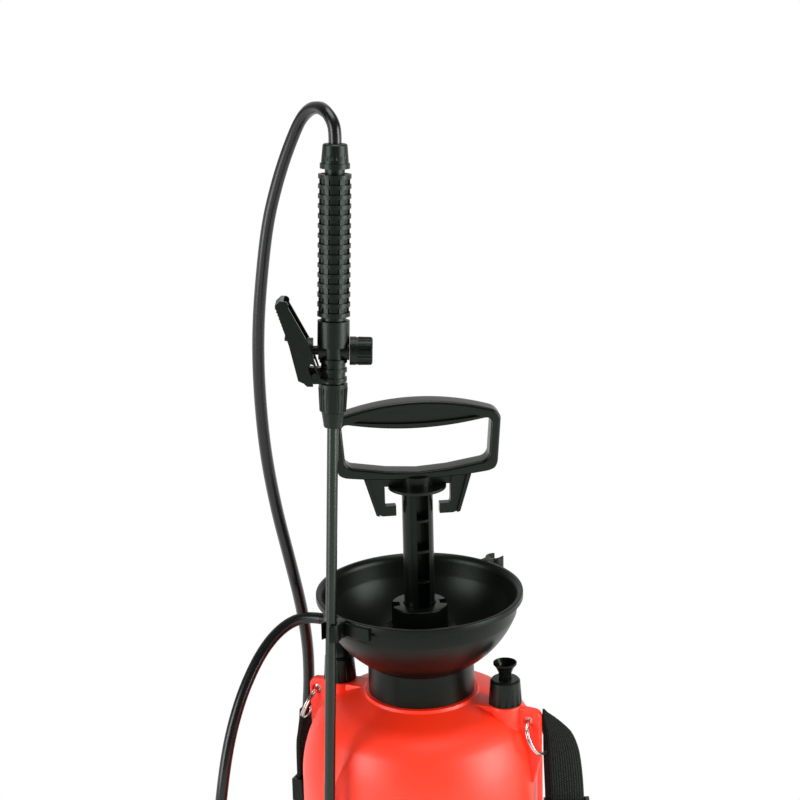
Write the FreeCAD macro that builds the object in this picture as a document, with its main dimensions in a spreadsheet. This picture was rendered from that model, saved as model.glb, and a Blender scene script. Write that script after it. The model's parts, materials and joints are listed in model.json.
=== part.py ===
import FreeCAD, Part
import Sketcher
import math
import os

# Hand-pumped garden pressure sprayer with a shoulder strap, standing on its base.
# The origin is the middle of the base. +X points to the relief valve, -Y is the label side, +Z is up.

os.makedirs("parts", exist_ok=True)
doc = FreeCAD.newDocument("PressureSprayer")
V = FreeCAD.Vector

sizes = {
    "tankRad": 98.5, "tankSideTop": 185.0, "neckRad": 35.5, "neckBore": 31.0,
    "neckTop": 280.0, "bossX": 73.0, "bossRad": 13.5, "bossTop": 259.0, "bossBore": 8.0,
    "lugHoleX": 93.2, "lugHoleZ": 247.0, "lugThick": 7.0, "labelHalf": 46.5, "labelTop": 196.5,
    "collarRad": 43.2, "collarTop": 287.0, "rimRad": 83.7, "rimTop": 347.0,
    "throatRad": 24.0, "capRad": 22.8, "capTop": 336.0, "capBore": 13.2, "capNeck": 15.8,
    "barrelRad": 20.0, "barrelBore": 18.0, "barrelLow": 76.0, "rodRad": 12.4, "channelWide": 10.1,
    "rodWeb": 3.2, "rodTop": 446.0, "gripDeep": 17.0, "nutLow": 13.4, "nutHigh": 12.1,
    "nutTall": 21.0, "hoseRad": 5.0, "lanceRad": 4.3, "ribRad": 12.6, "gripCore": 10.4,
    "gripPitch": 8.03, "jawHigh": 14.0, "ringRad": 15.0, "ringWire": 0.9, "webbingWide": 30.0,
    "webbingThick": 1.6, "wandX": -39.3, "wandY": -87.1, "wandZ": 340.0, "wandLean": -5.6,
    "viewTurn": 23.0,
}
sheet = doc.addObject("Spreadsheet::Sheet", "Sizes")
for row, name in enumerate(sizes, start=1):
    sheet.set("A%d" % row, name)
    sheet.set("B%d" % row, str(sizes[name]))
    sheet.setAlias("B%d" % row, name)
doc.recompute()

nodes = []


# A size is a number, a name in the sheet, or (name, added amount).
def val(size):
    if isinstance(size, tuple):
        return sizes[size[0]] + size[1]
    if isinstance(size, str):
        return sizes[size]
    return float(size)


def formula(size):
    if isinstance(size, tuple):
        return "Sizes.%s + (%g)" % size
    return "Sizes." + size


def bind(obj, prop, size):
    setattr(obj, prop, val(size))
    if not isinstance(size, (int, float)):
        obj.setExpression(prop, formula(size))


def fixPoint(sketch, geo, end, x, y):
    for kind, size in (("DistanceX", x), ("DistanceY", y)):
        at = sketch.addConstraint(Sketcher.Constraint(kind, -1, 1, geo, end, val(size)))
        if not isinstance(size, (int, float)):
            sketch.setExpression("Constraints[%d]" % at, formula(size))


# A closed outline: corner points in order, with ("arc", x, y) as the middle of an arc between two corners.
def drawLoop(sketch, outline):
    corners = []
    for item in outline:
        if item[0] == "arc":
            corners[-1][1] = V(val(item[1]), val(item[2]), 0)
        else:
            corners.append([item, None])
    first = sketch.GeometryCount
    count = len(corners)
    for i in range(count):
        (x0, y0), middle = corners[i]
        x1, y1 = corners[(i + 1) % count][0]
        start, stop = V(val(x0), val(y0), 0), V(val(x1), val(y1), 0)
        if middle and (middle - start).cross(stop - middle).z < 0:
            start, stop = stop, start
        sketch.addGeometry(Part.Arc(start, middle, stop) if middle else Part.LineSegment(start, stop))
    ends = []
    for i in range(count):
        start = V(val(corners[i][0][0]), val(corners[i][0][1]), 0)
        edge = sketch.Geometry[first + i]
        flip = edge.StartPoint.distanceToPoint(start) > edge.EndPoint.distanceToPoint(start)
        ends.append((2, 1) if flip else (1, 2))
    for i in range(count):
        nxt = (i + 1) % count
        sketch.addConstraint(Sketcher.Constraint(
            "Coincident", first + i, ends[i][1], first + nxt, ends[nxt][0]))
    for i in range(count):
        fixPoint(sketch, first + i, ends[i][0], *corners[i][0])


def drawCircle(sketch, x, y, rad):
    geo = sketch.addGeometry(Part.Circle(V(val(x), val(y), 0), V(0, 0, 1), val(rad)))
    fixPoint(sketch, geo, 3, x, y)
    at = sketch.addConstraint(Sketcher.Constraint("Radius", geo, val(rad)))
    if not isinstance(rad, (int, float)):
        sketch.setExpression("Constraints[%d]" % at, formula(rad))


def newBody(label):
    body = doc.addObject("PartDesign::Body", label)
    body.Label = label
    return body


def sketchOn(body, role, outlines=(), circles=(), start=0.0):
    sketch = body.newObject("Sketcher::SketchObject", body.Label + "_sketch")
    plane = [f for f in body.Origin.OriginFeatures if f.Role == role][0]
    sketch.AttachmentSupport = (plane, [""])
    sketch.MapMode = "FlatFace"
    sketch.AttachmentOffset = FreeCAD.Placement(V(0, 0, val(start)), FreeCAD.Rotation())
    for outline in outlines:
        drawLoop(sketch, outline)
    for circle in circles:
        drawCircle(sketch, *circle)
    return sketch


# A profile of (radius, height) turned about Z.
def revolve(label, outline):
    body = newBody(label)
    sketch = sketchOn(body, "XZ_Plane", [outline])
    turn = body.newObject("PartDesign::Revolution", label + "_turn")
    turn.Profile = sketch
    turn.ReferenceAxis = (sketch, ["V_Axis"])
    turn.Angle = 360
    return body


def pad(label, role, length, outlines=(), circles=(), start=0.0, both=False, back=False):
    body = newBody(label)
    addPad(body, role, length, outlines, circles, start, both, back)
    return body


def addPad(body, role, length, outlines=(), circles=(), start=0.0, both=False, back=False):
    sketch = sketchOn(body, role, outlines, circles, start)
    feature = body.newObject("PartDesign::Pad", body.Label + "_pad")
    feature.Profile = sketch
    bind(feature, "Length", length)
    if both:
        feature.SideType = "Symmetric"
    feature.Reversed = back
    return feature


def addPocket(body, role, depth, outlines=(), circles=(), start=0.0, both=False, back=False):
    doc.recompute()
    before = body.Shape.Volume
    sketch = sketchOn(body, role, outlines, circles, start)
    feature = body.newObject("PartDesign::Pocket", body.Label + "_pocket")
    feature.Profile = sketch
    bind(feature, "Length", depth)
    if both:
        feature.SideType = "Symmetric"
    feature.Reversed = back
    doc.recompute()
    if body.Shape.Volume > before - 1e-3:
        raise RuntimeError("the pocket in %s cuts nothing" % body.Label)
    return feature


# Rounds the edges of the body's last feature that pass the test.
def roundEdges(body, radius, test):
    doc.recompute()
    base = body.Tip
    picked = ["Edge%d" % (i + 1) for i, edge in enumerate(base.Shape.Edges) if test(edge)]
    fillet = body.newObject("PartDesign::Fillet", body.Label + "_round")
    fillet.Base = (base, picked)
    bind(fillet, "Radius", radius)
    return fillet


def ringOf(body, feature, count, angle=360.0):
    pattern = body.newObject("PartDesign::PolarPattern", body.Label + "_ring")
    pattern.Originals = [feature]
    axis = [f for f in body.Origin.OriginFeatures if f.Role == "Z_Axis"][0]
    pattern.Axis = (axis, [""])
    pattern.Angle = angle
    pattern.Occurrences = count
    body.Tip = pattern
    return pattern


def cylinder(label, rad, height, at=(0, 0, 0), turn=None):
    obj = doc.addObject("Part::Cylinder", label)
    obj.Label = label
    bind(obj, "Radius", rad)
    bind(obj, "Height", height)
    obj.Placement = FreeCAD.Placement(V(*[val(c) for c in at]), turn or FreeCAD.Rotation())
    return obj


def box(label, dx, dy, dz, at=(0, 0, 0), turn=None):
    obj = doc.addObject("Part::Box", label)
    obj.Label = label
    bind(obj, "Length", dx)
    bind(obj, "Width", dy)
    bind(obj, "Height", dz)
    obj.Placement = FreeCAD.Placement(V(*[val(c) for c in at]), turn or FreeCAD.Rotation())
    return obj


def fuse(label, pieces):
    obj = doc.addObject("Part::MultiFuse", label)
    obj.Label = label
    obj.Shapes = pieces
    obj.Refine = True
    return obj


def cut(label, base, tools):
    obj = doc.addObject("Part::Cut", label)
    obj.Label = label
    obj.Base = base
    obj.Tool = tools[0] if len(tools) == 1 else fuse(label + "_tools", tools)
    return obj


def feature(label, shape, place=None):
    obj = doc.addObject("Part::Feature", label)
    obj.Label = label
    obj.Shape = shape
    obj.Placement = place or FreeCAD.Placement()
    return obj


def node(obj, label=None):
    if label:
        obj.Label = label
    nodes.append(obj)
    return obj


def turned(axis, degrees):
    return FreeCAD.Rotation(V(*axis), degrees)


along = {"x": turned((0, 1, 0), 90), "y": turned((1, 0, 0), -90)}
upright = turned((0, 0, 1), 0)


# A tapered screw nut with shallow grip flutes, its wide end at the bottom.
def flutedNut(label, low, high, foot, tall, bore, top, flutes):
    outline = [(bore, foot), (low, foot), (low, (foot + 1.2)), (high, foot + tall - 1.5),
               (val(high) - 1.4, foot + tall), (top, foot + tall), (top, foot + tall - 2.6),
               (bore, foot + tall - 2.6)]
    body = revolve(label, outline)
    groove = addPocket(body, "XY_Plane", tall - 4.6, circles=[(val(low) + 0.15, 0, 1.15)],
                       start=foot + tall - 3.4)
    ringOf(body, groove, flutes)
    return body


# Tank

tankForm = revolve("tank_form", [
    (0, 5), (68, 5), (73, 0), (88, 0), ("arc", 95.4, 3.6), ("tankRad", 14), ("tankRad", "tankSideTop"),
    ("arc", 95.7, 212.5), (86.6, 236.2), ("arc", 77.0, 246.2), (62, 253.6), (46.5, 259.0), (46.5, 261.2),
    ("neckRad", 261.2), ("neckRad", "neckTop"), (0, "neckTop")])
ridge = pad("tank_ridge", "XY_Plane", 60.0, outlines=[[
    (("bossX", -146.0), ("bossRad", -27.0)), ("bossX", ("bossRad", -27.0)), ("arc", 86.5, 0),
    ("bossX", "bossRad"), (("bossX", -146.0), "bossRad"), ("arc", -86.5, 0)]], start=199.0)
roundEdges(ridge, 2.6, lambda e: e.BoundBox.ZMin > 258.9 and e.BoundBox.ZMax < 259.1)
lugs = []
for side in (1, -1):
    lug = pad("tank_lug_%s" % ("right" if side > 0 else "left"), "XZ_Plane", "lugThick", outlines=[[
        (side * 70, 205), (side * 84, 257.6), (side * 96.5, 256.9), ("arc", side * 102.0, 254.8),
        (side * 103.6, 250.4), (side * 103.0, 214), (side * 98.0, 193), (side * 90, 193)]], both=True)
    roundEdges(lug, 1.6, lambda e: e.BoundBox.YMax - e.BoundBox.YMin < 0.01
               and e.BoundBox.ZMin > 213.9 and e.CenterOfMass.x * side > 88)
    lugs.append(lug)
tankOuter = fuse("tank_outer", [tankForm, ridge] + lugs)
tankCavity = revolve("tank_cavity", [
    (0, 9), (66, 9), (74, 4.6), (86, 4.6), ("arc", 92.2, 7.0), (("tankRad", -4.0), 15),
    (("tankRad", -4.0), "tankSideTop"), ("arc", 91.8, 211.2), (83.2, 233.4), ("arc", 74.3, 242.6),
    (60.4, 249.6), ("neckBore", 255.4), ("neckBore", 282), (0, 282)])
labelPanel = pad("label_panel", "XZ_Plane", 120.0, outlines=[[
    (("labelHalf", -93.0), 58), ("labelHalf", 58), ("labelHalf", "labelTop"), ("arc", 0, 243.0),
    (("labelHalf", -93.0), "labelTop")]])
labelCore = revolve("label_core", [
    (0, 30), (("tankRad", -2.3), 30), (("tankRad", -2.3), "tankSideTop"), ("arc", 93.5, 211.6),
    (85.4, 234.2), ("arc", 78.2, 242.4), (68, 250), (0, 250)])
labelRecess = cut("label_recess", labelPanel, [labelCore])
bores = [cylinder("boss_bore_%d" % side, "bossBore", 80.0, (side * sizes["bossX"], 0, 190))
         for side in (1, -1)]
holes = [cylinder("lug_hole_%d" % side, 2.8, 20.0, (side * sizes["lugHoleX"], -10, "lugHoleZ"), along["y"])
         for side in (1, -1)]
node(cut("tank", tankOuter, [tankCavity, labelRecess] + bores + holes))
node(revolve("neck_gasket", [("neckBore", "neckTop"), ("neckRad", "neckTop"), ("neckRad", ("neckTop", 2.4)),
                             ("neckBore", ("neckTop", 2.4))]))

# Funnel with its collar and the two lance clips

bowl = revolve("funnel_bowl", [
    (36.2, 261.7), ("collarRad", 261.7), ("collarRad", "collarTop"), (45.0, 289.2), ("arc", 65.6, 310.0),
    (78.4, 329.5), (79.6, 341.4), ("rimRad", 341.8), ("rimRad", ("rimTop", -1.0)),
    (("rimRad", -1.0), "rimTop"),
    (("rimRad", -2.6), "rimTop"), (77.4, 341.4), (76.1, 330.2), ("arc", 63.6, 311.6), (43.0, 292.4),
    (33.0, 290.6), (33.0, 298.0), ("throatRad", 298.0), ("throatRad", 282.5), (36.2, 282.5)])
clipTurn = math.degrees(math.atan2(sizes["wandY"], sizes["wandX"]))
clipOut = math.hypot(sizes["wandX"], sizes["wandY"])
wandPlace = FreeCAD.Placement(V(sizes["wandX"], sizes["wandY"], sizes["wandZ"]),
                              turned((1, 0, 0), sizes["wandLean"]) * turned((0, 0, 1), sizes["viewTurn"]))
arms = []
jawTools = []
for k in range(2):
    spin = FreeCAD.Placement(V(0, 0, 0), turned((0, 0, 1), clipTurn + 180.0 * k))
    low = 347.0 - sizes["jawHigh"]
    arm = box("clip_arm_%d" % k, 15.5, 9.0, "jawHigh", (77.5, -4.5, low))
    arm.Placement = spin.multiply(arm.Placement)
    gusset = pad("clip_gusset_%d" % k, "XY_Plane", 5.0, start=341.9, outlines=[[
        (79.5, -23), (90.5, -7), (90.5, 7), (79.5, 23)]])
    gusset.Placement = spin
    jaw = cylinder("clip_jaw_%d" % k, 7.6, "jawHigh", (clipOut, 0, low))
    jaw.Placement = spin.multiply(jaw.Placement)
    arms += [arm, gusset, jaw]
    mouth = box("clip_mouth_%d" % k, 14.0, 9.4, 40.0, (clipOut, -4.7, 320))
    mouth.Placement = spin.multiply(mouth.Placement)
    lean = FreeCAD.Placement(V(0, 0, 0), turned((0, 0, 1), 180.0 * k)).multiply(wandPlace)
    seat = cylinder("clip_seat_%d" % k, 4.7, 60.0)
    seat.Placement = lean.multiply(FreeCAD.Placement(V(0, 0, -30), upright))
    jawTools += [mouth, seat]
inside = revolve("bowl_inside", [(0, 300), (70.0, 318), (76.0, 330.2), (77.3, 341.4), (81.0, 347.2),
                                 (0, 347.2)])
armsCut = cut("clip_arms", fuse("clip_solid", arms), jawTools + [inside])
node(fuse("funnel", [bowl, armsCut]))

# Pump unit: screw cap with its bayonet flange, barrel and foot valve

capBody = revolve("pump_cap", [
    ("capBore", "capTop"), (("capRad", -0.8), "capTop"), ("capRad", ("capTop", -0.8)), ("capRad", 325.9),
    ("capNeck", 325.9), ("capNeck", 313.5), (30.0, 313.5), (30.0, 300.6), (23.4, 300.6), (23.4, 284.2),
    (20.1, 284.2), (20.1, 300.0), ("capBore", 300.0)])
notchFrom, notchTo = 193.0, 261.0


def sector(inner, outer, start, stop):
    a0, a1, am = math.radians(start), math.radians(stop), math.radians((start + stop) / 2)
    p = [(inner * math.cos(a0), inner * math.sin(a0)), (outer * math.cos(a0), outer * math.sin(a0)),
         ("arc", outer * math.cos(am), outer * math.sin(am)), (outer * math.cos(a1), outer * math.sin(a1)),
         (inner * math.cos(a1), inner * math.sin(a1)), ("arc", inner * math.cos(am), inner * math.sin(am))]
    return p


notch = addPocket(capBody, "XY_Plane", 14.0, outlines=[sector(16.0, 26.0, notchFrom, notchTo)], start=337.0)
ringOf(capBody, notch, 2)
node(capBody)
node(revolve("pump_gasket", [("throatRad", 298.1), (29.5, 298.1), (29.5, 300.5), ("throatRad", 300.5)]))
node(revolve("pump_barrel", [
    (3.0, "barrelLow"), ("barrelRad", "barrelLow"), ("barrelRad", 299.8), ("barrelBore", 299.8),
    ("barrelBore", ("barrelLow", 4.0)), (3.0, ("barrelLow", 4.0))]))
node(revolve("foot_valve", [(0, 72.4), (8.5, 72.4), (8.5, 75.9), (2.6, 75.9), (2.6, 81.4), (0, 81.4)]))

# Piston

node(revolve("piston", [
    (5.2, 182), (16.0, 182), (16.0, 186), (13.5, 186), (13.5, 191), (17.4, 191), (17.4, 200), (5.2, 200)]))
node(revolve("piston_seal", [(13.6, 186.1), (17.93, 186.1), (17.93, 190.2), (13.6, 190.8)]))

# Pump rod: two arc flanges round a web, with cross ribs in the channels

rodTurn = 180.0 + 29.0
grooveTurn = -47.6
rod = pad("pump_rod", "XY_Plane", ("rodTop", -200.0), circles=[(0, 0, "rodRad")], start=200.0)
grooveSin, grooveCos = math.sin(math.radians(grooveTurn)), math.cos(math.radians(grooveTurn))
half, web = sizes["channelWide"] / 2, sizes["rodWeb"] / 2
for side in (1, -1):
    corners = [(-half, web), (half, web), (half, 14.0), (-half, 14.0)]
    outline = [(v * side * grooveCos - u * grooveSin, v * side * grooveSin + u * grooveCos)
               for u, v in corners]
    slot = addPocket(rod, "XY_Plane", 24.0, outlines=[outline], start=226.7)
    rows = rod.newObject("PartDesign::LinearPattern", "rod_rows")
    rows.Originals = [slot]
    rows.Direction = ([f for f in rod.Origin.OriginFeatures if f.Role == "Z_Axis"][0], [""])
    rows.Length = 208.0
    rows.Occurrences = 9
    rod.Tip = rows
addPad(rod, "XY_Plane", 16.0, circles=[(0, 0, 5.0)], start=184.0)
node(rod)

# Handle with the bayonet hooks below it

handleTurn = turned((0, 0, 1), 29.0)
outer = [(10, 444.9), (39, 447.8), (54.81, 450.96), ("arc", 61.41, 454.74), (64.41, 461.73), (66.94, 492.05),
         ("arc", 64.95, 499.72), (58.62, 504.48), ("arc", 29.66, 511.31), (0, 513.6),
         ("arc", -29.66, 511.31),
         (-58.62, 504.48), ("arc", -64.95, 499.72), (-66.94, 492.05), (-64.41, 461.73),
         ("arc", -61.41, 454.74),
         (-54.81, 450.96), (-39, 447.8), (-10, 444.9)]
inner = [(0, 455.5), (24, 457.2), (50, 461.4), ("arc", 55.6, 464.2), (57.4, 469.6), (59.2, 489.0),
         ("arc", 58.0, 493.0), (54.0, 494.0), ("arc", 28.0, 489.2), (0, 487.4), ("arc", -28.0, 489.2),
         (-54.0, 494.0), ("arc", -58.0, 493.0), (-59.2, 489.0), (-57.4, 469.6), ("arc", -55.6, 464.2),
         (-50, 461.4), (-24, 457.2)]
handle = pad("pump_handle", "XZ_Plane", "gripDeep", outlines=[outer, inner], both=True)
roundEdges(handle, 2.4, lambda e: e.BoundBox.YMax - e.BoundBox.YMin < 0.01)
eye = [(-51.0, 497.4), ("arc", 0, 508.0), (51.0, 497.4), ("arc", 0, 492.6)]
for flip in (False, True):
    addPocket(handle, "XZ_Plane", 3.0, outlines=[eye], start=-8.5 if flip else 8.5, back=flip)
skirt = pad("handle_skirt", "XZ_Plane", 3.2, outlines=[[
    (-30.0, 447.5), (-30.0, 434.5), (30.0, 434.5), (30.0, 447.5)]], both=True)
disc = cylinder("handle_disc", 23.3, 2.6, (0, 0, 432.4))
hooks = []
for side in (1, -1):
    hook = pad("hook_%d" % side, "XZ_Plane", 7.0, outlines=[[
        (side * 40.0, 447.6), (side * 31.4, 411.6), (side * 28.0, 410.5), (side * 17.4, 410.5),
        (side * 17.4, 421.4), (side * 25.4, 421.4), ("arc", side * 25.4 + side * 0.6, 423.2),
        (side * 26.2, 425.0), (side * 26.2, 434.0), (side * 28.0, 447.6)]], both=True)
    strip = pad("hook_strip_%d" % side, "XZ_Plane", 13.0, outlines=[[
        (side * 42.8, 447.6), (side * 33.6, 412.6), (side * 31.0, 411.4), (side * 39.6, 447.6)]], both=True)
    hooks += [hook, strip]
handleSolid = fuse("pump_handle_whole", [handle, skirt, disc] + hooks)
rodHole = cylinder("handle_socket", 12.42, ("rodTop", -431.9), (0, 0, 432.0))
handleDone = cut("pump_grip", handleSolid, [rodHole])
handleDone.Placement = FreeCAD.Placement(V(0, 0, 0), handleTurn)
node(handleDone, "pump_grip")

# Relief valve on the right boss

rightBoss = FreeCAD.Placement(V(sizes["bossX"], 0, 0), upright)
leftBoss = FreeCAD.Placement(V(-sizes["bossX"], 0, 0), upright)
valveNut = flutedNut("relief_nut", "nutLow", "nutHigh", 259.2, 21.0, 8.4, 5.4, 16)
valveNut.Placement = rightBoss
node(valveNut)
seat = revolve("relief_seat", [
    (2.6, 252.0), (7.7, 252.0), (7.7, 259.3), (8.2, 259.3), (8.2, 261.6), (2.6, 261.6)])
seat.Placement = rightBoss
node(seat)
knob = revolve("relief_knob", [
    (0, 253.0), (2.2, 253.0), (2.2, 262.2), (7.2, 262.2), (7.2, 263.8), (5.0, 263.8), (5.0, 286.5),
    ("arc", 6.4, 290.6), (9.5, 295.4), (9.5, 296.8), (8.7, 297.0), (6.2, 293.2), ("arc", 4.0, 290.6),
    (0, 289.6)])
knob.Placement = rightBoss
node(knob)
spring = revolve("relief_spring", [(5.6, 264.1), (7.6, 264.1), (7.6, 277.3), (5.6, 277.3)])
spring.Placement = rightBoss
node(spring)

# Outlet on the left boss, with the dip tube below it

outletNut = flutedNut("outlet_nut", "nutLow", "nutHigh", 259.2, 21.0, 8.4, 7.0, 16)
outletNut.Placement = leftBoss
node(outletNut)
outX = -sizes["bossX"]
stem = revolve("outlet_stem", [
    (3.0, 250.0), (7.7, 250.0), (7.7, 259.3), (8.2, 259.3), (8.2, 262.0), (6.8, 262.0), (6.8, 281.0),
    (10.2, 281.0), (10.2, 283.5), (5.6, 301.0), (5.6, 309.5), ("arc", 3.96, 313.46), (0, 315.1), (0, 312.0),
    (3.0, 312.0)])
stem.Placement = leftBoss
spout = revolve("outlet_spout", [(0, 0), (5.6, 0), (5.6, 7.0), (6.4, 7.4), (6.4, 12.0), (4.6, 12.8),
                                 (4.6, 15.0),
                                 (0, 15.0)])
spout.Placement = FreeCAD.Placement(V(outX, 0, 309.5), turned((0, 1, 0), -90))
flow = cylinder("outlet_flow", 2.6, 20.0, (outX, 0, 309.5), turned((0, 1, 0), -90))
riser = cylinder("outlet_riser", 2.6, 63.0, (outX, 0, 249.0))
node(cut("outlet_elbow", fuse("elbow_solid", [stem, spout]), [flow, riser]))
dip = revolve("dip_tube", [(2.7, 24.0), (4.4, 24.0), (4.4, 249.8), (2.7, 249.8)])
dip.Placement = leftBoss
node(dip)
strainer = revolve("dip_strainer", [(0, 12.0), (7.5, 12.0), (7.5, 30.0), (4.6, 32.0), (4.6, 23.8),
                                    (0, 23.8)])
strainer.Placement = leftBoss
node(strainer)


# Wand, built upright about its own axis with the trigger on its -X side and the clip at height 0

def onWand(obj, label=None):
    obj.Placement = wandPlace.multiply(obj.Placement)
    return node(obj, label)


hoseNut = revolve("hose_nut", [
    (5.2, 381.0), (8.4, 381.0), (9.4, 380.0), (10.5, 366.6), (11.4, 366.4), (11.4, 362.6), (7.6, 362.6),
    (7.6, 358.0), (5.2, 358.0)])
hoseFlute = addPocket(hoseNut, "XY_Plane", 12.4, circles=[(10.9, 0, 1.0)], start=381.5)
ringOf(hoseNut, hoseFlute, 18)
onWand(hoseNut)
gripOutline = [(5.4, 249.9), ("gripCore", 249.9)]
for i in range(15):
    foot = 250.6 + sizes["gripPitch"] * 0.93 * i
    gripOutline += [("gripCore", foot), ("ribRad", foot), ("ribRad", foot + 3.1), ("gripCore", foot + 3.1)]
gripOutline += [("gripCore", 357.8), (5.4, 357.8)]
grip = revolve("wand_grip", gripOutline)
stave = addPad(grip, "XY_Plane", 106.0, outlines=[[(9.8, -1.6), (11.6, -1.6), (11.6, 1.6), (9.8, 1.6)]],
               start=251.0)
ringOf(grip, stave, 6)
onWand(grip)

valveForm = revolve("valve_form", [
    (0, 198.6), (8.6, 198.6), (8.6, 200.4), (10.6, 200.4), (10.6, 203.2), (9.4, 203.2), (9.4, 207.6),
    (10.6, 207.6), (10.6, 210.4), (9.4, 210.4), (9.4, 214.8), (10.6, 214.8), (10.6, 217.6), (8.8, 217.6),
    (8.8, 227.0), (12.3, 227.0), (12.3, 247.0), (9.6, 247.6), (9.6, 249.6), (0, 249.6)])
crossTube = cylinder("valve_cross", 7.2, 23.6, (-11.4, 0, 223.7), along["x"])
lugPlate = box("valve_lug", 10.0, 8.0, 10.0, (-18.6, -4.0, 200.8))
seam = box("valve_seam", 1.6, 22.6, 17.0, (1.2, -11.3, 200.6))
pinBore = cylinder("valve_pin_bore", 3.7, 26.0, (-13.6, 0, 223.7), along["x"])
pivotBore = cylinder("valve_pivot_bore", 2.32, 20.0, (-13.9, -10, 205.7), along["y"])
waterway = cylinder("valve_waterway", 3.0, 60.0, (0, 0, 195.0))
onWand(cut("valve_body", fuse("valve_solid", [valveForm, crossTube, lugPlate, seam]),
           [pinBore, pivotBore, waterway]))

sideCap = revolve("valve_cap", [
    (0, 2.4), (6.4, 2.4), (6.4, 0), (10.9, 0), (10.9, 4.6), (10.6, 4.8), (10.4, 16.6), (9.4, 17.4),
    (0, 17.4)])
capFlute = addPocket(sideCap, "XY_Plane", 12.0, circles=[(11.1, 0, 1.0)], start=18.0)
ringOf(sideCap, capFlute, 20)
sideCap.Placement = FreeCAD.Placement(V(12.5, 0, 223.7), along["x"])
onWand(sideCap)

pushPin = fuse("push_pin", [
    cylinder("pin_disc", 9.6, 4.3, (-19.7, 0, 223.7), along["x"]),
    cylinder("pin_nose", 3.0, 7.0, (-25.2, 0, 223.7), along["x"]),
    cylinder("pin_stem", 3.5, 21.4, (-15.6, 0, 223.7), along["x"])])
onWand(pushPin)
pinSpring = revolve("pin_spring", [(2.0, 0), (3.4, 0), (3.4, 5.0), (2.0, 5.0)])
pinSpring.Placement = FreeCAD.Placement(V(6.4, 0, 223.7), along["x"])
onWand(pinSpring)

leverSide = [(-44.2, 262.2), (-40.4, 266.2), (-37.0, 266.2), ("arc", -35.2, 265.4), (-34.3, 261.4),
             (-18.7, 231.7),
             (-8.4, 200.2), (-8.4, 198.4), (-14.9, 198.2), (-14.9, 195.6), (-19.4, 195.6), (-22.0, 198.6),
             (-26.2, 201.6), (-33.4, 229.4)]
lever = pad("lever", "XZ_Plane", 27.4, outlines=[leverSide], both=True)
addPocket(lever, "XZ_Plane", 23.0, outlines=[[
    (-39.8, 260.6), (-37.2, 268.0), (-25.0, 268.0), (-5.0, 232.0), (-5.0, 193.0), (-19.6, 193.0),
    (-19.9, 203.0), (-29.6, 229.6)]], both=True)
slotA, slotB, slotRad = V(-16.5, 212.7, 0), V(-13.9, 205.7, 0), 2.5
reach = (slotB - slotA).normalize()
side = V(-reach.y, reach.x, 0) * slotRad
slotLoop = [(p.x, p.y) for p in (slotA + side, slotB + side)]
slotLoop += [("arc", (slotB + reach * slotRad).x, (slotB + reach * slotRad).y)]
slotLoop += [(p.x, p.y) for p in (slotB - side, slotA - side)]
slotLoop += [("arc", (slotA - reach * slotRad).x, (slotA - reach * slotRad).y)]
addPocket(lever, "XZ_Plane", 40.0, outlines=[slotLoop], both=True)
addPad(lever, "XZ_Plane", 12.0, outlines=[[(-30.0, 230.8), (-37.0, 232.0), (-37.0, 234.6), (-30.0, 234.0)]],
       both=True)
onWand(lever)

onWand(cylinder("lever_pin", 2.28, 27.6, (-13.9, -13.8, 205.7), along["y"]))

coneNut = revolve("cone_nut", [
    (8.8, 198.3), (11.1, 198.3), (11.1, 196.8), (9.9, 176.6), (8.7, 175.8), (6.9, 164.4), (6.2, 163.8),
    (4.4, 163.8), (4.4, 190.0), (8.8, 190.0)])
coneFlute = addPocket(coneNut, "XY_Plane", 17.4, circles=[(11.5, 0, 0.95)], start=194.6)
ringOf(coneNut, coneFlute, 20)
onWand(coneNut)
onWand(revolve("lance_seal", [(4.35, 190.1), (8.4, 190.1), (8.4, 193.2), (4.35, 193.2)]))
onWand(revolve("lance_tube", [(2.9, -304.0), ("lanceRad", -304.0), ("lanceRad", 196.0), (2.9, 196.0)]))
nozzle = revolve("nozzle_body", [
    (4.35, -286.0), (6.2, -286.0), (6.2, -306.0), (5.4, -306.2), (5.4, -315.0), (1.0, -315.0), (1.0, -304.2),
    (4.35, -304.2)])
onWand(nozzle)
nozzleCap = revolve("nozzle_cap", [
    (5.5, -306.6), (8.2, -306.6), (8.2, -318.6), (6.4, -321.6), (0.7, -321.6), (0.7, -316.2), (5.5, -316.2)])
nozzleFlute = addPocket(nozzleCap, "XY_Plane", 12.0, circles=[(8.7, 0, 1.0)], start=-306.0)
ringOf(nozzleCap, nozzleFlute, 12)
onWand(nozzleCap)


# Hose: straight runs joined by tangent arcs along a route of points

def roundedPath(points, share=0.45):
    runs = [(points[i + 1] - points[i]) for i in range(len(points) - 1)]
    edges, radii = [], []
    last = points[0]
    for i in range(1, len(points) - 1):
        a, b = runs[i - 1], runs[i]
        turn = a.getAngle(b)
        cutBack = share * min(a.Length, b.Length)
        radii.append(cutBack / math.tan(turn / 2))
        start = points[i] - FreeCAD.Vector(a).normalize() * cutBack
        stop = points[i] + FreeCAD.Vector(b).normalize() * cutBack
        inward = (start + stop) * 0.5 - points[i]
        centre = points[i] + FreeCAD.Vector(inward).normalize() * (radii[-1] / math.cos(turn / 2))
        middle = centre + (points[i] - centre).normalize() * radii[-1]
        edges.append(Part.LineSegment(last, start).toShape())
        edges.append(Part.Arc(start, middle, stop).toShape())
        last = stop
    edges.append(Part.LineSegment(last, points[-1]).toShape())
    return Part.Wire(edges), radii


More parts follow.
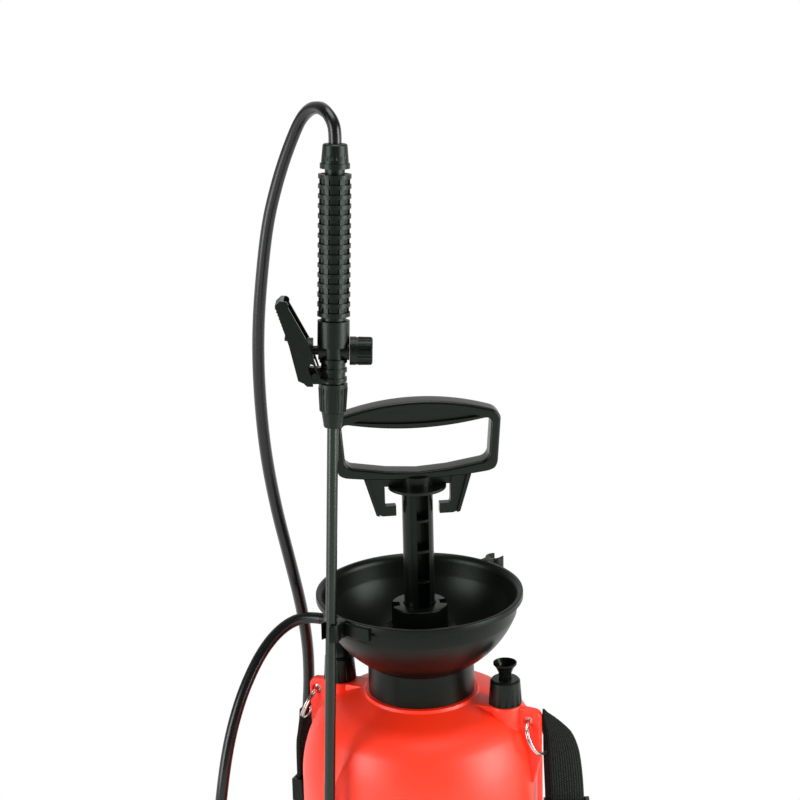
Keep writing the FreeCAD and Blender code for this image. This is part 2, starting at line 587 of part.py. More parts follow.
def tubeAlong(label, points, rad):
    path, radii = roundedPath(points)
    start = path.Edges[0]
    ring = Part.Wire(Part.Circle(start.valueAt(start.FirstParameter),
                                 start.tangentAt(start.FirstParameter), rad).toShape())
    shape = path.makePipeShell([ring], True, False)
    ideal = math.pi * rad ** 2 * path.Length
    print("%s length %.0f mm, least radius %.0f mm, volume ratio %.3f" % (
        label, path.Length, min(radii), shape.Volume / ideal))
    print("  radii " + " ".join("%.0f" % r for r in radii))
    return feature(label, shape)


hoseStart = wandPlace.multVec(V(0, 0, 381.2))
hoseRise = wandPlace.multVec(V(0, 0, 392.0))
hoseRoute = [V(outX - 15.2, 0, 309.5), V(-99, 0, 309.5), V(-111.5, -3, 306), V(-121, -10.5, 299),
             V(-128, -21, 287.5),
             V(-133, -34.5, 271.5), V(-137, -50.5, 249), V(-140.5, -66, 220), V(-144, -77, 186),
             V(-148, -82.5, 147), V(-152, -80, 108), V(-155.5, -70, 72), V(-157.5, -53, 42),
             V(-157.5, -30, 21),
             V(-155.5, -2, 12), V(-151, 23, 20), V(-146.5, 42.5, 40), V(-142.5, 54, 70), V(-139, 58.5, 108),
             V(-135.5, 57, 150), V(-131.5, 52.5, 194), V(-127, 46, 232), V(-123, 38, 268),
             V(-121.5, 29.5, 305),
             V(-124, 18, 349.5), V(-129.5, 7, 399), V(-133.5, -1.5, 453.5), V(-134, -6, 512.5),
             V(-131, -8.5, 560),
             V(-124.5, -10.5, 605), V(-117, -11.5, 645), V(-107.5, -13, 677), V(-97.5, -15.5, 702),
             V(-87, -18.5, 724.5), V(-78, -22, 740.5), V(-67.5, -28, 748.5), V(-55.5, -36, 748.5),
             V(-45.5, -43.5, 741.5), hoseRise, hoseStart]
node(tubeAlong("hose", hoseRoute, sizes["hoseRad"]))

# Split rings in the tank's lugs: two turns of wire side by side

ringLean = 25.0


def splitRing(label, side):
    profile = []
    for turn in (-0.8, 0.8):
        profile += [(0.5, turn - 0.8), (0.9, turn - 0.35), (0.9, turn + 0.35), (0.5, turn + 0.8)]
    across = [(("ringRad", out), up) for out, up in profile]
    across += [(("ringRad", -out), up) for out, up in reversed(profile)]
    ring = revolve(label, [point for i, point in enumerate(across) if i not in (4, 11)])
    lean = math.radians(ringLean)
    centre = V(side * (sizes["lugHoleX"] + sizes["ringRad"] * math.sin(lean)), 0,
               sizes["lugHoleZ"] - sizes["ringRad"] * math.cos(lean))
    normal = V(side * math.cos(lean), 0, math.sin(lean))
    ring.Placement = FreeCAD.Placement(centre, FreeCAD.Rotation(V(0, 0, 1), normal))
    return node(ring)


rightRing = splitRing("right_ring", 1)
leftRing = splitRing("left_ring", -1)


# Strap: flat webbing given as (centre, width direction, thickness direction, width) stations

def webbing(stations, thick):
    wires = []
    for centre, across, out, wide in stations:
        c, a, o = V(*centre), V(*across).normalize(), V(*out).normalize()
        corners = [c - a * wide / 2 - o * thick / 2, c + a * wide / 2 - o * thick / 2,
                   c + a * wide / 2 + o * thick / 2, c - a * wide / 2 + o * thick / 2]
        wires.append(Part.makePolygon(corners + corners[:1]))
    return Part.makeLoft(wires, True, True)


def ringRoom(side):
    lean = math.radians(ringLean)
    centre = V(side * (sizes["lugHoleX"] + sizes["ringRad"] * math.sin(lean)), 0,
               sizes["lugHoleZ"] - sizes["ringRad"] * math.cos(lean))
    return Part.makeTorus(sizes["ringRad"], sizes["ringWire"] * 2 + 0.5, centre,
                          V(side * math.cos(lean), 0, math.sin(lean)))


view = math.radians(sizes["viewTurn"])
viewX, viewY = (math.cos(view), math.sin(view), 0), (-math.sin(view), math.cos(view), 0)


def fromView(x, y, z):
    return (x * viewX[0] + y * viewY[0], x * viewX[1] + y * viewY[1], z)


wide, thick = sizes["webbingWide"], sizes["webbingThick"]
rightLoop = webbing([
    (fromView(102.6, -38, 255.8), viewX, viewY, 6.0), (fromView(105.4, -38, 250.0), viewX, viewY, 14.0),
    (fromView(109.0, -38, 238.0), viewX, viewY, 24.0), (fromView(113.0, -38, 222.0), viewX, viewY, 29.0),
    (fromView(115.0, -38, 200.0), viewX, viewY, 30.0),
    (fromView(116.0, -38, 160.0), viewX, viewY, 30.0)], 5.0)
node(feature("right_loop", rightLoop.cut(ringRoom(1))))
leftLoop = webbing([
    ((-107.2, 0, 227.0), (0, 1, 0), (1, 0, 0.1), 12.0), ((-107.2, 0, 219.0), (0, 1, 0), (1, 0, 0.1), 15.0),
    ((-107.2, 0, 208.0), (0, 1, 0), (1, 0, 0.05), 24.0), ((-107.6, 0, 196.0), (0, 1, 0), (1, 0, 0), 30.0),
    ((-108.0, 0, 152.0), (0, 1, 0), (1, 0, 0), 30.0)], 5.0)
node(feature("left_loop", leftLoop.cut(ringRoom(-1))))


def slider(label, centre, across):
    a = V(*across).normalize()
    turn = FreeCAD.Rotation(V(1, 0, 0), a)
    place = FreeCAD.Placement(V(*centre), turn)
    frame = box(label + "_frame", 37.0, 8.6, 20.0, (-18.5, -4.3, -10.0))
    sleeve = box(label + "_sleeve", 31.0, 5.6, 22.0, (-15.5, -2.8, -11.0))
    slots = [box("%s_slot_%d" % (label, k), 29.0, 3.0, 6.0, (-14.5, -5.5, k)) for k in (-8.0, 2.0)]
    bars = cut(label, frame, [sleeve] + slots)
    bars.Placement = place
    return node(bars)


slider("right_slider", fromView(115.7, -38, 172.0), viewX)
slider("left_slider", (-108.0, 0, 166.0), (0, -1, 0))

# The strap's long run: down both sides, back along the floor and across behind the tank

floorZ = 0.8
rightRun = webbing([
    (fromView(116.0, -38, 159.9), viewX, viewY, wide), (fromView(116.4, -38, 120.0), viewX, viewY, wide),
    ((118.5, 8.5, 80.0), (1, 0.36, 0), (-0.36, 1, 0), wide),
    ((117.5, 9.5, 44.0), (1, 0.2, 0), (-0.2, 1, 0.05), wide),
    ((116.5, 13.0, 18.0), (1, 0.08, 0), (-0.06, 1, 0.5), wide),
    ((116.0, 21.0, 5.5), (1, 0, 0), (0, 0.6, 0.8), wide),
    ((116.0, 34.0, floorZ), (1, 0, 0), (0, 0, 1), wide),
    ((116.0, 150.0, floorZ), (1, 0, 0), (0, 0, 1), wide)], thick)
leftRun = webbing([
    ((-108.0, 0, 151.9), (0, 1, 0), (1, 0, 0), wide), ((-109.4, 0, 124.0), (0.1, 1, 0), (1, -0.1, 0), wide),
    ((-112.6, 2.0, 98.0), (0.55, 1, 0), (1, -0.55, 0), wide),
    ((-115.4, 5.0, 72.0), (1, 0.8, 0), (0.8, -1, 0), wide),
    ((-115.8, 9.0, 44.0), (1, 0.2, 0), (0.2, -1, -0.05), wide),
    ((-115.4, 15.0, 19.0), (1, 0.05, 0), (0.05, -1, -0.5), wide),
    ((-115.0, 23.0, 5.5), (1, 0, 0), (0, -0.6, -0.8), wide),
    ((-115.0, 36.0, floorZ), (1, 0, 0), (0, 0, -1), wide),
    ((-115.0, 150.0, floorZ), (1, 0, 0), (0, 0, -1), wide)], thick)
backRun = Part.makeBox(261.0, wide, thick, V(-130.0, 120.0, thick + 0.05))
node(feature("strap_right_run", rightRun))
node(feature("strap_left_run", leftRun))
node(feature("strap_back_run", backRun))

# Checks and export

doc.recompute()
for obj in doc.Objects:
    if "Invalid" in obj.State or "Error" in obj.State:
        raise RuntimeError("%s failed: %s" % (obj.Label, obj.State))
for obj in nodes:
    shape = obj.Shape
    if shape.isNull() or not shape.isValid() or shape.Volume <= 0:
        raise RuntimeError("%s has a bad shape" % obj.Label)
    print("%-18s solids %d volume %9.0f mm3" % (obj.Label, len(shape.Solids), shape.Volume))
    shape.exportStep("parts/%s.step" % obj.Label)
print("%d nodes" % len(nodes))
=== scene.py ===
import json
import math

import bmesh
import bpy
from mathutils import Matrix, Vector

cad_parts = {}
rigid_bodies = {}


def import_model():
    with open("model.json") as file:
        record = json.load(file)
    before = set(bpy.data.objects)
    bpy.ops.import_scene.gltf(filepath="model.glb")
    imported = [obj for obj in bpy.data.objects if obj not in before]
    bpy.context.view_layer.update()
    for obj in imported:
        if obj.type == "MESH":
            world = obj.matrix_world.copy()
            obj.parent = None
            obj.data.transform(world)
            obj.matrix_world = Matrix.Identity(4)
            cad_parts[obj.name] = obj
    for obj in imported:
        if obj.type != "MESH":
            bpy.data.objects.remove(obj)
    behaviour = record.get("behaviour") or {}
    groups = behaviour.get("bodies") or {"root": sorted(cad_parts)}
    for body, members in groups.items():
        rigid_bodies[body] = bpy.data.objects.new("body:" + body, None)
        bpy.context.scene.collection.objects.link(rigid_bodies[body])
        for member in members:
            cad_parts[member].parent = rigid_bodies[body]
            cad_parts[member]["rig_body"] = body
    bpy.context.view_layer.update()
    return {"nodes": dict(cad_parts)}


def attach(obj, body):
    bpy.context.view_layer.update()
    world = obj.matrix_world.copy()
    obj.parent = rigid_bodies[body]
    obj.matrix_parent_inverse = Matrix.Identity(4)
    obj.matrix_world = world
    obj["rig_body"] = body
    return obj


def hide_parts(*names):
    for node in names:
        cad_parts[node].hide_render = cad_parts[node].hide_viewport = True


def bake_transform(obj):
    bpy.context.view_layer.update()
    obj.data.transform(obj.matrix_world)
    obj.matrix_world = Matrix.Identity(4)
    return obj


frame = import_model()
nodes = frame["nodes"]
print("frame loaded:", len(nodes), "nodes")

# Camera at the photograph's angle

cameraSetup = {"turn": 23.0, "down": 17.36, "roll": -1.4, "lens": 103.5, "sensor": 36.0,
               "lookHeight": 0.50785, "aside": -0.0119, "distance": 1.8094}


def makeCamera(setup):
    a, p, r = (math.radians(setup[k]) for k in ("turn", "down", "roll"))
    forward = Vector((-math.sin(a) * math.cos(p), math.cos(a) * math.cos(p), -math.sin(p)))
    right = Vector((math.cos(a), math.sin(a), 0))
    up = right.cross(forward)
    turnedRight = right * math.cos(r) + up * math.sin(r)
    turnedUp = up * math.cos(r) - right * math.sin(r)
    data = bpy.data.cameras.new("camera")
    data.lens, data.sensor_width = setup["lens"], setup["sensor"]
    data.clip_start, data.clip_end = 0.05, 40
    camera = bpy.data.objects.new("camera", data)
    bpy.context.scene.collection.objects.link(camera)
    aim = Vector((0, 0, setup["lookHeight"])) + right * setup["aside"]
    place = aim - forward * setup["distance"]
    turn = Matrix((turnedRight, turnedUp, -forward)).transposed()
    camera.matrix_world = Matrix.Translation(place) @ turn.to_4x4()
    bpy.context.scene.camera = camera


makeCamera(cameraSetup)

# Shared shader groups


def newGroup(name, inputs, outputs):
    group = bpy.data.node_groups.new(name, "ShaderNodeTree")
    for label, kind, value in inputs:
        socket = group.interface.new_socket(name=label, in_out="INPUT", socket_type=kind)
        if value is not None:
            socket.default_value = value
    for label, kind in outputs:
        group.interface.new_socket(name=label, in_out="OUTPUT", socket_type=kind)
    return group, group.nodes.new("NodeGroupInput"), group.nodes.new("NodeGroupOutput")


def mathNode(tree, operation, first, second=None, clamp=False):
    node = tree.nodes.new("ShaderNodeMath")
    node.operation, node.use_clamp = operation, clamp
    for socket, value in zip(node.inputs, (first, second)):
        if value is None:
            continue
        if isinstance(value, (int, float)):
            socket.default_value = value
        else:
            tree.links.new(value, socket)
    return node.outputs[0]


def noiseNode(tree, vector, scale, detail=3.0, roughness=0.5):
    node = tree.nodes.new("ShaderNodeTexNoise")
    node.inputs["Detail"].default_value = detail
    node.inputs["Roughness"].default_value = roughness
    if isinstance(scale, (int, float)):
        node.inputs["Scale"].default_value = scale
    else:
        tree.links.new(scale, node.inputs["Scale"])
    tree.links.new(vector, node.inputs["Vector"])
    return node.outputs["Fac"]


# Fine spark-eroded mould texture with a slow flow mark under it
def makeMouldGroup():
    group, taken, given = newGroup("mouldTexture", [
        ("Vector", "NodeSocketVector", None), ("Grain Scale", "NodeSocketFloat", 900.0),
        ("Grain Depth", "NodeSocketFloat", 1.0), ("Flow Scale", "NodeSocketFloat", 9.0),
        ("Flow Depth", "NodeSocketFloat", 0.5)],
        [("Height", "NodeSocketFloat"), ("Mottle", "NodeSocketFloat")])
    vector = taken.outputs["Vector"]
    grain = noiseNode(group, vector, taken.outputs["Grain Scale"], detail=2.0)
    flow = noiseNode(group, vector, taken.outputs["Flow Scale"], detail=1.5)
    fine = mathNode(group, "MULTIPLY", grain, taken.outputs["Grain Depth"])
    slow = mathNode(group, "MULTIPLY", flow, taken.outputs["Flow Depth"])
    group.links.new(mathNode(group, "ADD", fine, slow), given.inputs["Height"])
    spots = noiseNode(group, vector, scale=60.0, detail=4.0, roughness=0.6)
    flowShare = mathNode(group, "MULTIPLY", flow, 0.6)
    spotShare = mathNode(group, "MULTIPLY", spots, 0.4)
    group.links.new(mathNode(group, "ADD", flowShare, spotShare), given.inputs["Mottle"])
    return group


# Light dust and rub marks in patches: a mask that grows on faces that look up
dustSetup = {"upward": 0.8, "everywhere": 0.25, "bare": 0.42}


def makeDustGroup(setup):
    group, taken, given = newGroup("handlingDust", [
        ("Vector", "NodeSocketVector", None), ("Amount", "NodeSocketFloat", 0.4)],
        [("Mask", "NodeSocketFloat")])
    geometry = group.nodes.new("ShaderNodeNewGeometry")
    split = group.nodes.new("ShaderNodeSeparateXYZ")
    group.links.new(geometry.outputs["Normal"], split.inputs[0])
    upward = mathNode(group, "MULTIPLY", split.outputs["Z"], setup["upward"], True)
    cloud = noiseNode(group, taken.outputs["Vector"], scale=22.0, detail=5.0, roughness=0.65)
    patch = mathNode(group, "SUBTRACT", cloud, setup["bare"], True)
    mask = mathNode(group, "MULTIPLY", mathNode(group, "ADD", upward, setup["everywhere"]), patch)
    mask = mathNode(group, "MULTIPLY", mask, taken.outputs["Amount"], True)
    group.links.new(mask, given.inputs["Mask"])
    return group


# Plain weave from the webbing's own UV, which is in millimetres: u across and v along.
# Fold is how far across a crease runs; painted shade darkens a line along the crease, and the
# border before it is painted darker as shade.
weaveSetup = {"rounding": 1.1, "creaseShade": 0.9, "borderShade": 0.45}


def threadHeight(group, way, rounding):
    wave = mathNode(group, "SINE", mathNode(group, "MULTIPLY", way, math.pi))
    return mathNode(group, "POWER", mathNode(group, "ABSOLUTE", wave), rounding)


def makeWeaveGroup(setup):
    group, taken, given = newGroup("webbingWeave", [
        ("UV", "NodeSocketVector", None), ("Rib", "NodeSocketFloat", 1.9),
        ("Pick", "NodeSocketFloat", 1.5), ("Fold", "NodeSocketFloat", -40.0)],
        [("Height", "NodeSocketFloat"), ("Shade", "NodeSocketFloat")])
    split = group.nodes.new("ShaderNodeSeparateXYZ")
    group.links.new(taken.outputs["UV"], split.inputs[0])
    u = mathNode(group, "DIVIDE", split.outputs["X"], taken.outputs["Rib"])
    v = mathNode(group, "DIVIDE", split.outputs["Y"], taken.outputs["Pick"])
    column = mathNode(group, "FLOOR", u)
    shifted = mathNode(group, "ADD", v, mathNode(group, "MULTIPLY", column, 0.5))
    across, along = (threadHeight(group, way, setup["rounding"]) for way in (u, shifted))
    height = mathNode(group, "MULTIPLY", across, along)
    group.links.new(height, given.inputs["Height"])
    # Painted shade: a dark line along the crease and a darker border before the fold
    past = mathNode(group, "SUBTRACT", split.outputs["X"], taken.outputs["Fold"])
    creaseShade = mathNode(group, "MULTIPLY", mathNode(group, "ABSOLUTE", past), setup["creaseShade"], True)
    beyond = mathNode(group, "GREATER_THAN", past, 0)
    borderShade = mathNode(group, "MULTIPLY", beyond, 1 - setup["borderShade"])
    borderShade = mathNode(group, "ADD", borderShade, setup["borderShade"])
    shade = mathNode(group, "MULTIPLY", mathNode(group, "MULTIPLY", height, borderShade), creaseShade)
    group.links.new(shade, given.inputs["Shade"])
    return group


mouldGroup, dustGroup = makeMouldGroup(), makeDustGroup(dustSetup)
weaveGroup = makeWeaveGroup(weaveSetup)


def useGroup(tree, group, vector, **values):
    node = tree.nodes.new("ShaderNodeGroup")
    node.node_tree = group
    tree.links.new(vector, node.inputs[0])
    for label, value in values.items():
        node.inputs[label.replace("_", " ")].default_value = value
    return node


def mixColour(tree, factor, first, second):
    node = tree.nodes.new("ShaderNodeMix")
    node.data_type = "RGBA"
    tree.links.new(factor, node.inputs["Factor"])
    for socket, value in ((node.inputs[6], first), (node.inputs[7], second)):
        if isinstance(value, tuple):
            socket.default_value = (*value, 1)
        else:
            tree.links.new(value, socket)
    return node.outputs[2]


def bumpNode(tree, height, distance, strength=1.0):
    node = tree.nodes.new("ShaderNodeBump")
    node.inputs["Distance"].default_value = distance
    node.inputs["Strength"].default_value = strength
    tree.links.new(height, node.inputs["Height"])
    return node.outputs["Normal"]


def newMaterial(name):
    material = bpy.data.materials.new(name)
    material.use_nodes = True
    return material, material.node_tree, material.node_tree.nodes["Principled BSDF"]


def objectPlace(tree):
    return tree.nodes.new("ShaderNodeTexCoord").outputs["Object"]


# Moulded plastic and rubber: colour with a little mottle and dust, grain in the bump
def plasticMaterial(name, look):
    material, tree, shader = newMaterial(name)
    place = objectPlace(tree)
    mould = useGroup(tree, mouldGroup, place, Grain_Scale=look["grain"],
                     Grain_Depth=look["grainDepth"], Flow_Scale=look["flow"],
                     Flow_Depth=look["flowDepth"])
    mottle = mould.outputs["Mottle"]
    dust = useGroup(tree, dustGroup, place, Amount=look["dust"])
    base = mixColour(tree, mottle, look["dark"], look["light"])
    base = mixColour(tree, dust.outputs["Mask"], base, look["dustColour"])
    tree.links.new(base, shader.inputs["Base Color"])
    rough = mathNode(tree, "MULTIPLY", mottle, look["roughSpread"])
    rough = mathNode(tree, "ADD", rough, look["rough"] - look["roughSpread"] / 2)
    tree.links.new(rough, shader.inputs["Roughness"])
    normal = bumpNode(tree, mould.outputs["Height"], look["bump"])
    tree.links.new(normal, shader.inputs["Normal"])
    shader.inputs["Specular IOR Level"].default_value = look.get("gleam", 0.5)
    shader.inputs["Specular Tint"].default_value = (*look.get("tint", (1, 1, 1)), 1)
    shader.inputs["Subsurface Weight"].default_value = look.get("inside", 0.0)
    if look.get("inside"):
        shader.inputs["Subsurface Radius"].default_value = (0.012, 0.004, 0.002)
    return material


def blackLook(rough, grain, bump, gleam=0.3):
    return {"dark": (0.0016, 0.0024, 0.0017), "light": (0.0032, 0.0046, 0.0035),
            "dustColour": (0.03, 0.034, 0.03), "dust": 0.18, "grain": grain, "grainDepth": 1.0,
            "flow": 14.0, "flowDepth": 0.5, "rough": rough, "roughSpread": 0.12, "bump": bump,
            "gleam": gleam, "tint": (0.84, 1, 0.86)}


plasticLooks = {
    "tank": ("redPolyethylene", {
        "dark": (0.9, 0.024, 0.003), "light": (0.98, 0.032, 0.004),
        "dustColour": (0.95, 0.16, 0.09), "dust": 0.06, "grain": 520.0, "grainDepth": 0.5,
        "flow": 7.0, "flowDepth": 1.2, "rough": 0.44, "roughSpread": 0.1, "bump": 0.0002,
        "gleam": 0.6, "inside": 0.06}),
    "funnel": ("funnelBlack", blackLook(rough=0.34, grain=700.0, bump=0.00008, gleam=0.22)),
    "satin": ("satinBlack", blackLook(rough=0.3, grain=900.0, bump=0.00008, gleam=0.32)),
    "gloss": ("glossBlack", blackLook(rough=0.24, grain=1200.0, bump=0.00004, gleam=0.22)),
    "lance": ("lanceBlack", blackLook(rough=0.26, grain=1200.0, bump=0.00004, gleam=0.6)),
    "grip": ("gripBlack", blackLook(rough=0.38, grain=800.0, bump=0.0001, gleam=0.34)),
    "rubber": ("sealRubber", blackLook(rough=0.6, grain=600.0, bump=0.0001)),
    "milky": ("milkyTube", {
        "dark": (0.62, 0.62, 0.58), "light": (0.72, 0.72, 0.68),
        "dustColour": (0.6, 0.58, 0.52), "dust": 0.2, "grain": 500.0, "grainDepth": 0.4,
        "flow": 12.0, "flowDepth": 0.6, "rough": 0.4, "roughSpread": 0.1, "bump": 0.0001,
        "inside": 0.2}),
    "hose": ("hoseRubber", {
        "dark": (0.0028, 0.0036, 0.003), "light": (0.0045, 0.006, 0.005),
        "dustColour": (0.04, 0.043, 0.04), "dust": 0.5, "grain": 1600.0, "grainDepth": 0.6,
        "flow": 40.0, "flowDepth": 0.5, "rough": 0.25, "roughSpread": 0.1, "bump": 0.00006}),
}
materials = {finish: plasticMaterial(*look) for finish, look in plasticLooks.items()}


# Bright spring wire, a little uneven in colour and gloss
wireLook = {"dark": (0.55, 0.54, 0.52), "light": (0.78, 0.77, 0.75), "rough": 0.12,
            "roughSpread": 0.2, "bump": 0.00004}


def wireMaterial(look):
    material, tree, shader = newMaterial("springWire")
    place = objectPlace(tree)
    fine = noiseNode(tree, place, scale=1400.0, detail=2.0)
    slow = noiseNode(tree, place, scale=180.0, detail=3.0)
    tree.links.new(mixColour(tree, slow, look["dark"], look["light"]), shader.inputs["Base Color"])
    shader.inputs["Metallic"].default_value = 1.0
    rough = mathNode(tree, "MULTIPLY", slow, look["roughSpread"])
    tree.links.new(mathNode(tree, "ADD", rough, look["rough"]), shader.inputs["Roughness"])
    tree.links.new(bumpNode(tree, fine, look["bump"]), shader.inputs["Normal"])
    return material


# Rib and pick are the weave's pitches across and along, in millimetres
webbingLook = {"rib": 1.9, "pick": 1.5, "dark": (0.0025, 0.003, 0.0025),
               "light": (0.034, 0.043, 0.035), "rough": 0.75, "gleam": 0.06, "sheen": 0.03,
               "bump": 0.0004}


def webbingMaterial(name, look, fold=-40.0):
    material, tree, shader = newMaterial(name)
    uv = tree.nodes.new("ShaderNodeUVMap")
    uv.uv_map = "weave"
    weave = useGroup(tree, weaveGroup, uv.outputs["UV"], Rib=look["rib"], Pick=look["pick"],
                     Fold=fold)
    fuzz = noiseNode(tree, objectPlace(tree), scale=420.0, detail=4.0, roughness=0.7)
    shade = mathNode(tree, "MULTIPLY", weave.outputs["Shade"],
                     mathNode(tree, "ADD", fuzz, 0.4), True)
    tree.links.new(mixColour(tree, shade, look["dark"], look["light"]), shader.inputs["Base Color"])
    shader.inputs["Roughness"].default_value = look["rough"]
    shader.inputs["Specular IOR Level"].default_value = look["gleam"]
    shader.inputs["Sheen Weight"].default_value = look["sheen"]
    normal = bumpNode(tree, weave.outputs["Height"], look["bump"])
    tree.links.new(normal, shader.inputs["Normal"])
    return material


materials["wire"] = wireMaterial(wireLook)
materials["webbing"] = webbingMaterial("blackWebbing", webbingLook)
# Webbing for the right strap end, with painted shade along its fold's crease and on the border
# before it
materials["folded"] = webbingMaterial("foldedWebbing", webbingLook, fold=-11.0)
print("materials:", len(bpy.data.materials))

# Hose: one smooth spline from the outlet, down to the ground and up to the wand

hoseSetup = {"diameter": 0.010, "sides": 12, "steps": 10}
hoseRoute = [
    (-88.2, 0, 309.5), (-99, 0, 309.5), (-111.5, -3, 306), (-121.4, -10.7, 299),
    (-129.8, -21.8, 287.5), (-135.8, -35.7, 271.5), (-140.8, -52.1, 249), (-144.1, -67.5, 220),
    (-146.4, -78, 186), (-149.6, -83.2, 147), (-152.7, -80.3, 108), (-155.5, -70, 72),
    (-157.5, -53, 42), (-157.5, -30, 21), (-155.5, -2, 12), (-151, 23, 20), (-146.5, 42.5, 40),
    (-142.5, 54, 70), (-139, 58.5, 108), (-134.8, 57.3, 150), (-129.8, 53.2, 194),
    (-124, 47.3, 232), (-120.5, 39.1, 268), (-120.6, 29.9, 305), (-123.7, 18.1, 349.5),
    (-129.2, 7.1, 399), (-133.2, -1.4, 453.5), (-133.7, -5.9, 512.5), (-130.7, -8.4, 560),
    (-124.2, -10.4, 605), (-117, -11.5, 645), (-107.5, -13, 675), (-98, -15.5, 698),
    (-88.5, -18.5, 717), (-80, -22, 731), (-70.5, -26.5, 739.5), (-60, -33, 743),
    (-50, -41, 741.5), (-43.1, -46.1, 736.5), (-39.3, -48.9, 729.1), (-39.3, -49.9, 719.4)]


def smoothCurve(name, points, setup):
    data = bpy.data.curves.new(name, "CURVE")
    data.dimensions = "3D"
    spline = data.splines.new("NURBS")
    spline.points.add(len(points) - 1)
    for point, place in zip(spline.points, points):
        point.co = (*[c / 1000 for c in place], 1)
    spline.order_u = 3
    spline.use_endpoint_u = True
    spline.resolution_u = setup["steps"]
    data.bevel_depth, data.bevel_resolution = setup["diameter"] / 2, setup["sides"] // 4 - 1
    data.use_fill_caps = True
    piece = bpy.data.objects.new(name, data)
    bpy.context.scene.collection.objects.link(piece)
    return piece


def asMesh(piece, name):
    bpy.context.view_layer.update()
    shown = piece.evaluated_get(bpy.context.evaluated_depsgraph_get())
    mesh = bpy.data.meshes.new_from_object(shown)
    mesh.name = name
    return mesh


def addMesh(name, mesh, material, body=None):
    piece = bpy.data.objects.new(name, mesh)
    bpy.context.scene.collection.objects.link(piece)
    mesh.materials.clear()
    mesh.materials.append(material)
    if body:
        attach(piece, body)
    return piece


def makeHose(setup, route):
    curve = smoothCurve("hoseCurve", route, setup)
    mesh = asMesh(curve, "hoseTube")
    curve.data.bevel_depth = 0
    line = asMesh(curve, "hoseLine")
    bpy.data.objects.remove(curve)
    bpy.data.meshes.remove(line)
    for polygon in mesh.polygons:
        polygon.use_smooth = True
    hose = addMesh("hoseTube", mesh, materials["hose"])
    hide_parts("hose")
    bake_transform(hose)


makeHose(hoseSetup, hoseRoute)


# Turned and moulded pieces: a profile of (radius, height) in millimetres on a ring of angles


def arcBetween(a, m, b, steps):
    ax, ay, bx, by, cx, cy = *a, *m, *b
    aa, bb, cc = ax * ax + ay * ay, bx * bx + by * by, cx * cx + cy * cy
    d = 2 * (ax * (by - cy) + bx * (cy - ay) + cx * (ay - by))
    ux = (aa * (by - cy) + bb * (cy - ay) + cc * (ay - by)) / d
    uy = (aa * (cx - bx) + bb * (ax - cx) + cc * (bx - ax)) / d
    start, middle, stop = (math.atan2(y - uy, x - ux) for x, y in (a, m, b))
    sweep = (stop - start) % (2 * math.pi)
    if (middle - start) % (2 * math.pi) > sweep:
        sweep -= 2 * math.pi
    radius = math.hypot(ax - ux, ay - uy)
    turns = [start + sweep * k / steps for k in range(1, steps)]
    return [(ux + radius * math.cos(t), uy + radius * math.sin(t)) for t in turns]


# An ("arc", r, z, steps) item is a point that the arc between its neighbours goes through
def profileOf(outline):
    points = []
    for i, item in enumerate(outline):
        if item[0] == "arc":
            after = outline[(i + 1) % len(outline)]
            points += arcBetween(outline[i - 1], item[1:3], after, item[3])
        else:
            points.append(item)
    return points


def crispEdges(work, angle):
    limit = math.radians(angle)
    for face in work.faces:
        face.smooth = True
    for edge in work.edges:
        edge.smooth = len(edge.link_faces) != 2 or edge.calc_face_angle(0) <= limit


def turnedForm(outline, angles, bend=None, closed=True):
    work = bmesh.new()
    poles, columns = {}, []
    for angle in angles:
        c, s = math.cos(math.radians(angle)), math.sin(math.radians(angle))
        column = []
        for i, (r, z) in enumerate(outline):
            if r == 0 and i not in poles:
                poles[i] = work.verts.new((0, 0, z / 1000))
            reach = bend(angle, r, z, i) if bend and r else r
            column.append(poles[i] if r == 0 else work.verts.new(
                (reach * c / 1000, reach * s / 1000, z / 1000)))
        columns.append(column)
    rows = len(outline) if closed else len(outline) - 1
    for k, near in enumerate(columns):
        far = columns[(k + 1) % len(columns)]
        for i in range(rows):
            j = (i + 1) % len(outline)
            corners = list(dict.fromkeys((near[i], far[i], far[j], near[j])))
            if len(corners) > 2:
                work.faces.new(corners)
    bmesh.ops.recalc_face_normals(work, faces=work.faces)
    return work


# A flat plate cut from outlines in the X-Z plane, with rounded edges
def plateForm(outlines, thick, edge):
    data = bpy.data.curves.new("plate", "CURVE")
    data.dimensions, data.fill_mode = "2D", "BOTH"
    for outline in outlines:
        spline = data.splines.new("POLY")
        spline.points.add(len(outline) - 1)
        spline.use_cyclic_u = True
        for point, (x, z) in zip(spline.points, outline):
            point.co = (x / 1000, z / 1000, 0, 1)
    data.extrude, data.bevel_depth = (thick / 2 - edge) / 1000, edge / 1000
    data.bevel_resolution, data.offset = 2, -edge / 1000
    piece = bpy.data.objects.new("plate", data)
    bpy.context.scene.collection.objects.link(piece)
    mesh = asMesh(piece, "plate")
    bpy.data.objects.remove(piece)
    mesh.transform(Matrix.Rotation(math.pi / 2, 4, "X"))
    return mesh


def joined(name, parts, angle=32):
    work = bmesh.new()
    for part in parts:
        if isinstance(part, bpy.types.Mesh):
            work.from_mesh(part)
            bpy.data.meshes.remove(part)
        else:
            mesh = bpy.data.meshes.new("part")
            part.to_mesh(mesh)
            part.free()
            work.from_mesh(mesh)
            bpy.data.meshes.remove(mesh)
    bmesh.ops.remove_doubles(work, verts=work.verts, dist=1e-6)
    bmesh.ops.recalc_face_normals(work, faces=work.faces)
    crispEdges(work, angle)
    mesh = bpy.data.meshes.new(name)
    work.to_mesh(mesh)
    work.free()
    return mesh


def circlePoints(x, z, radius, count=24):
    turns = [2 * math.pi * k / count for k in range(count)]
    return [(x + radius * math.cos(t), z + radius * math.sin(t)) for t in turns]


# Tank: blow-moulded shell with a wide sunk label panel, a ridge with two bosses, and two lugs

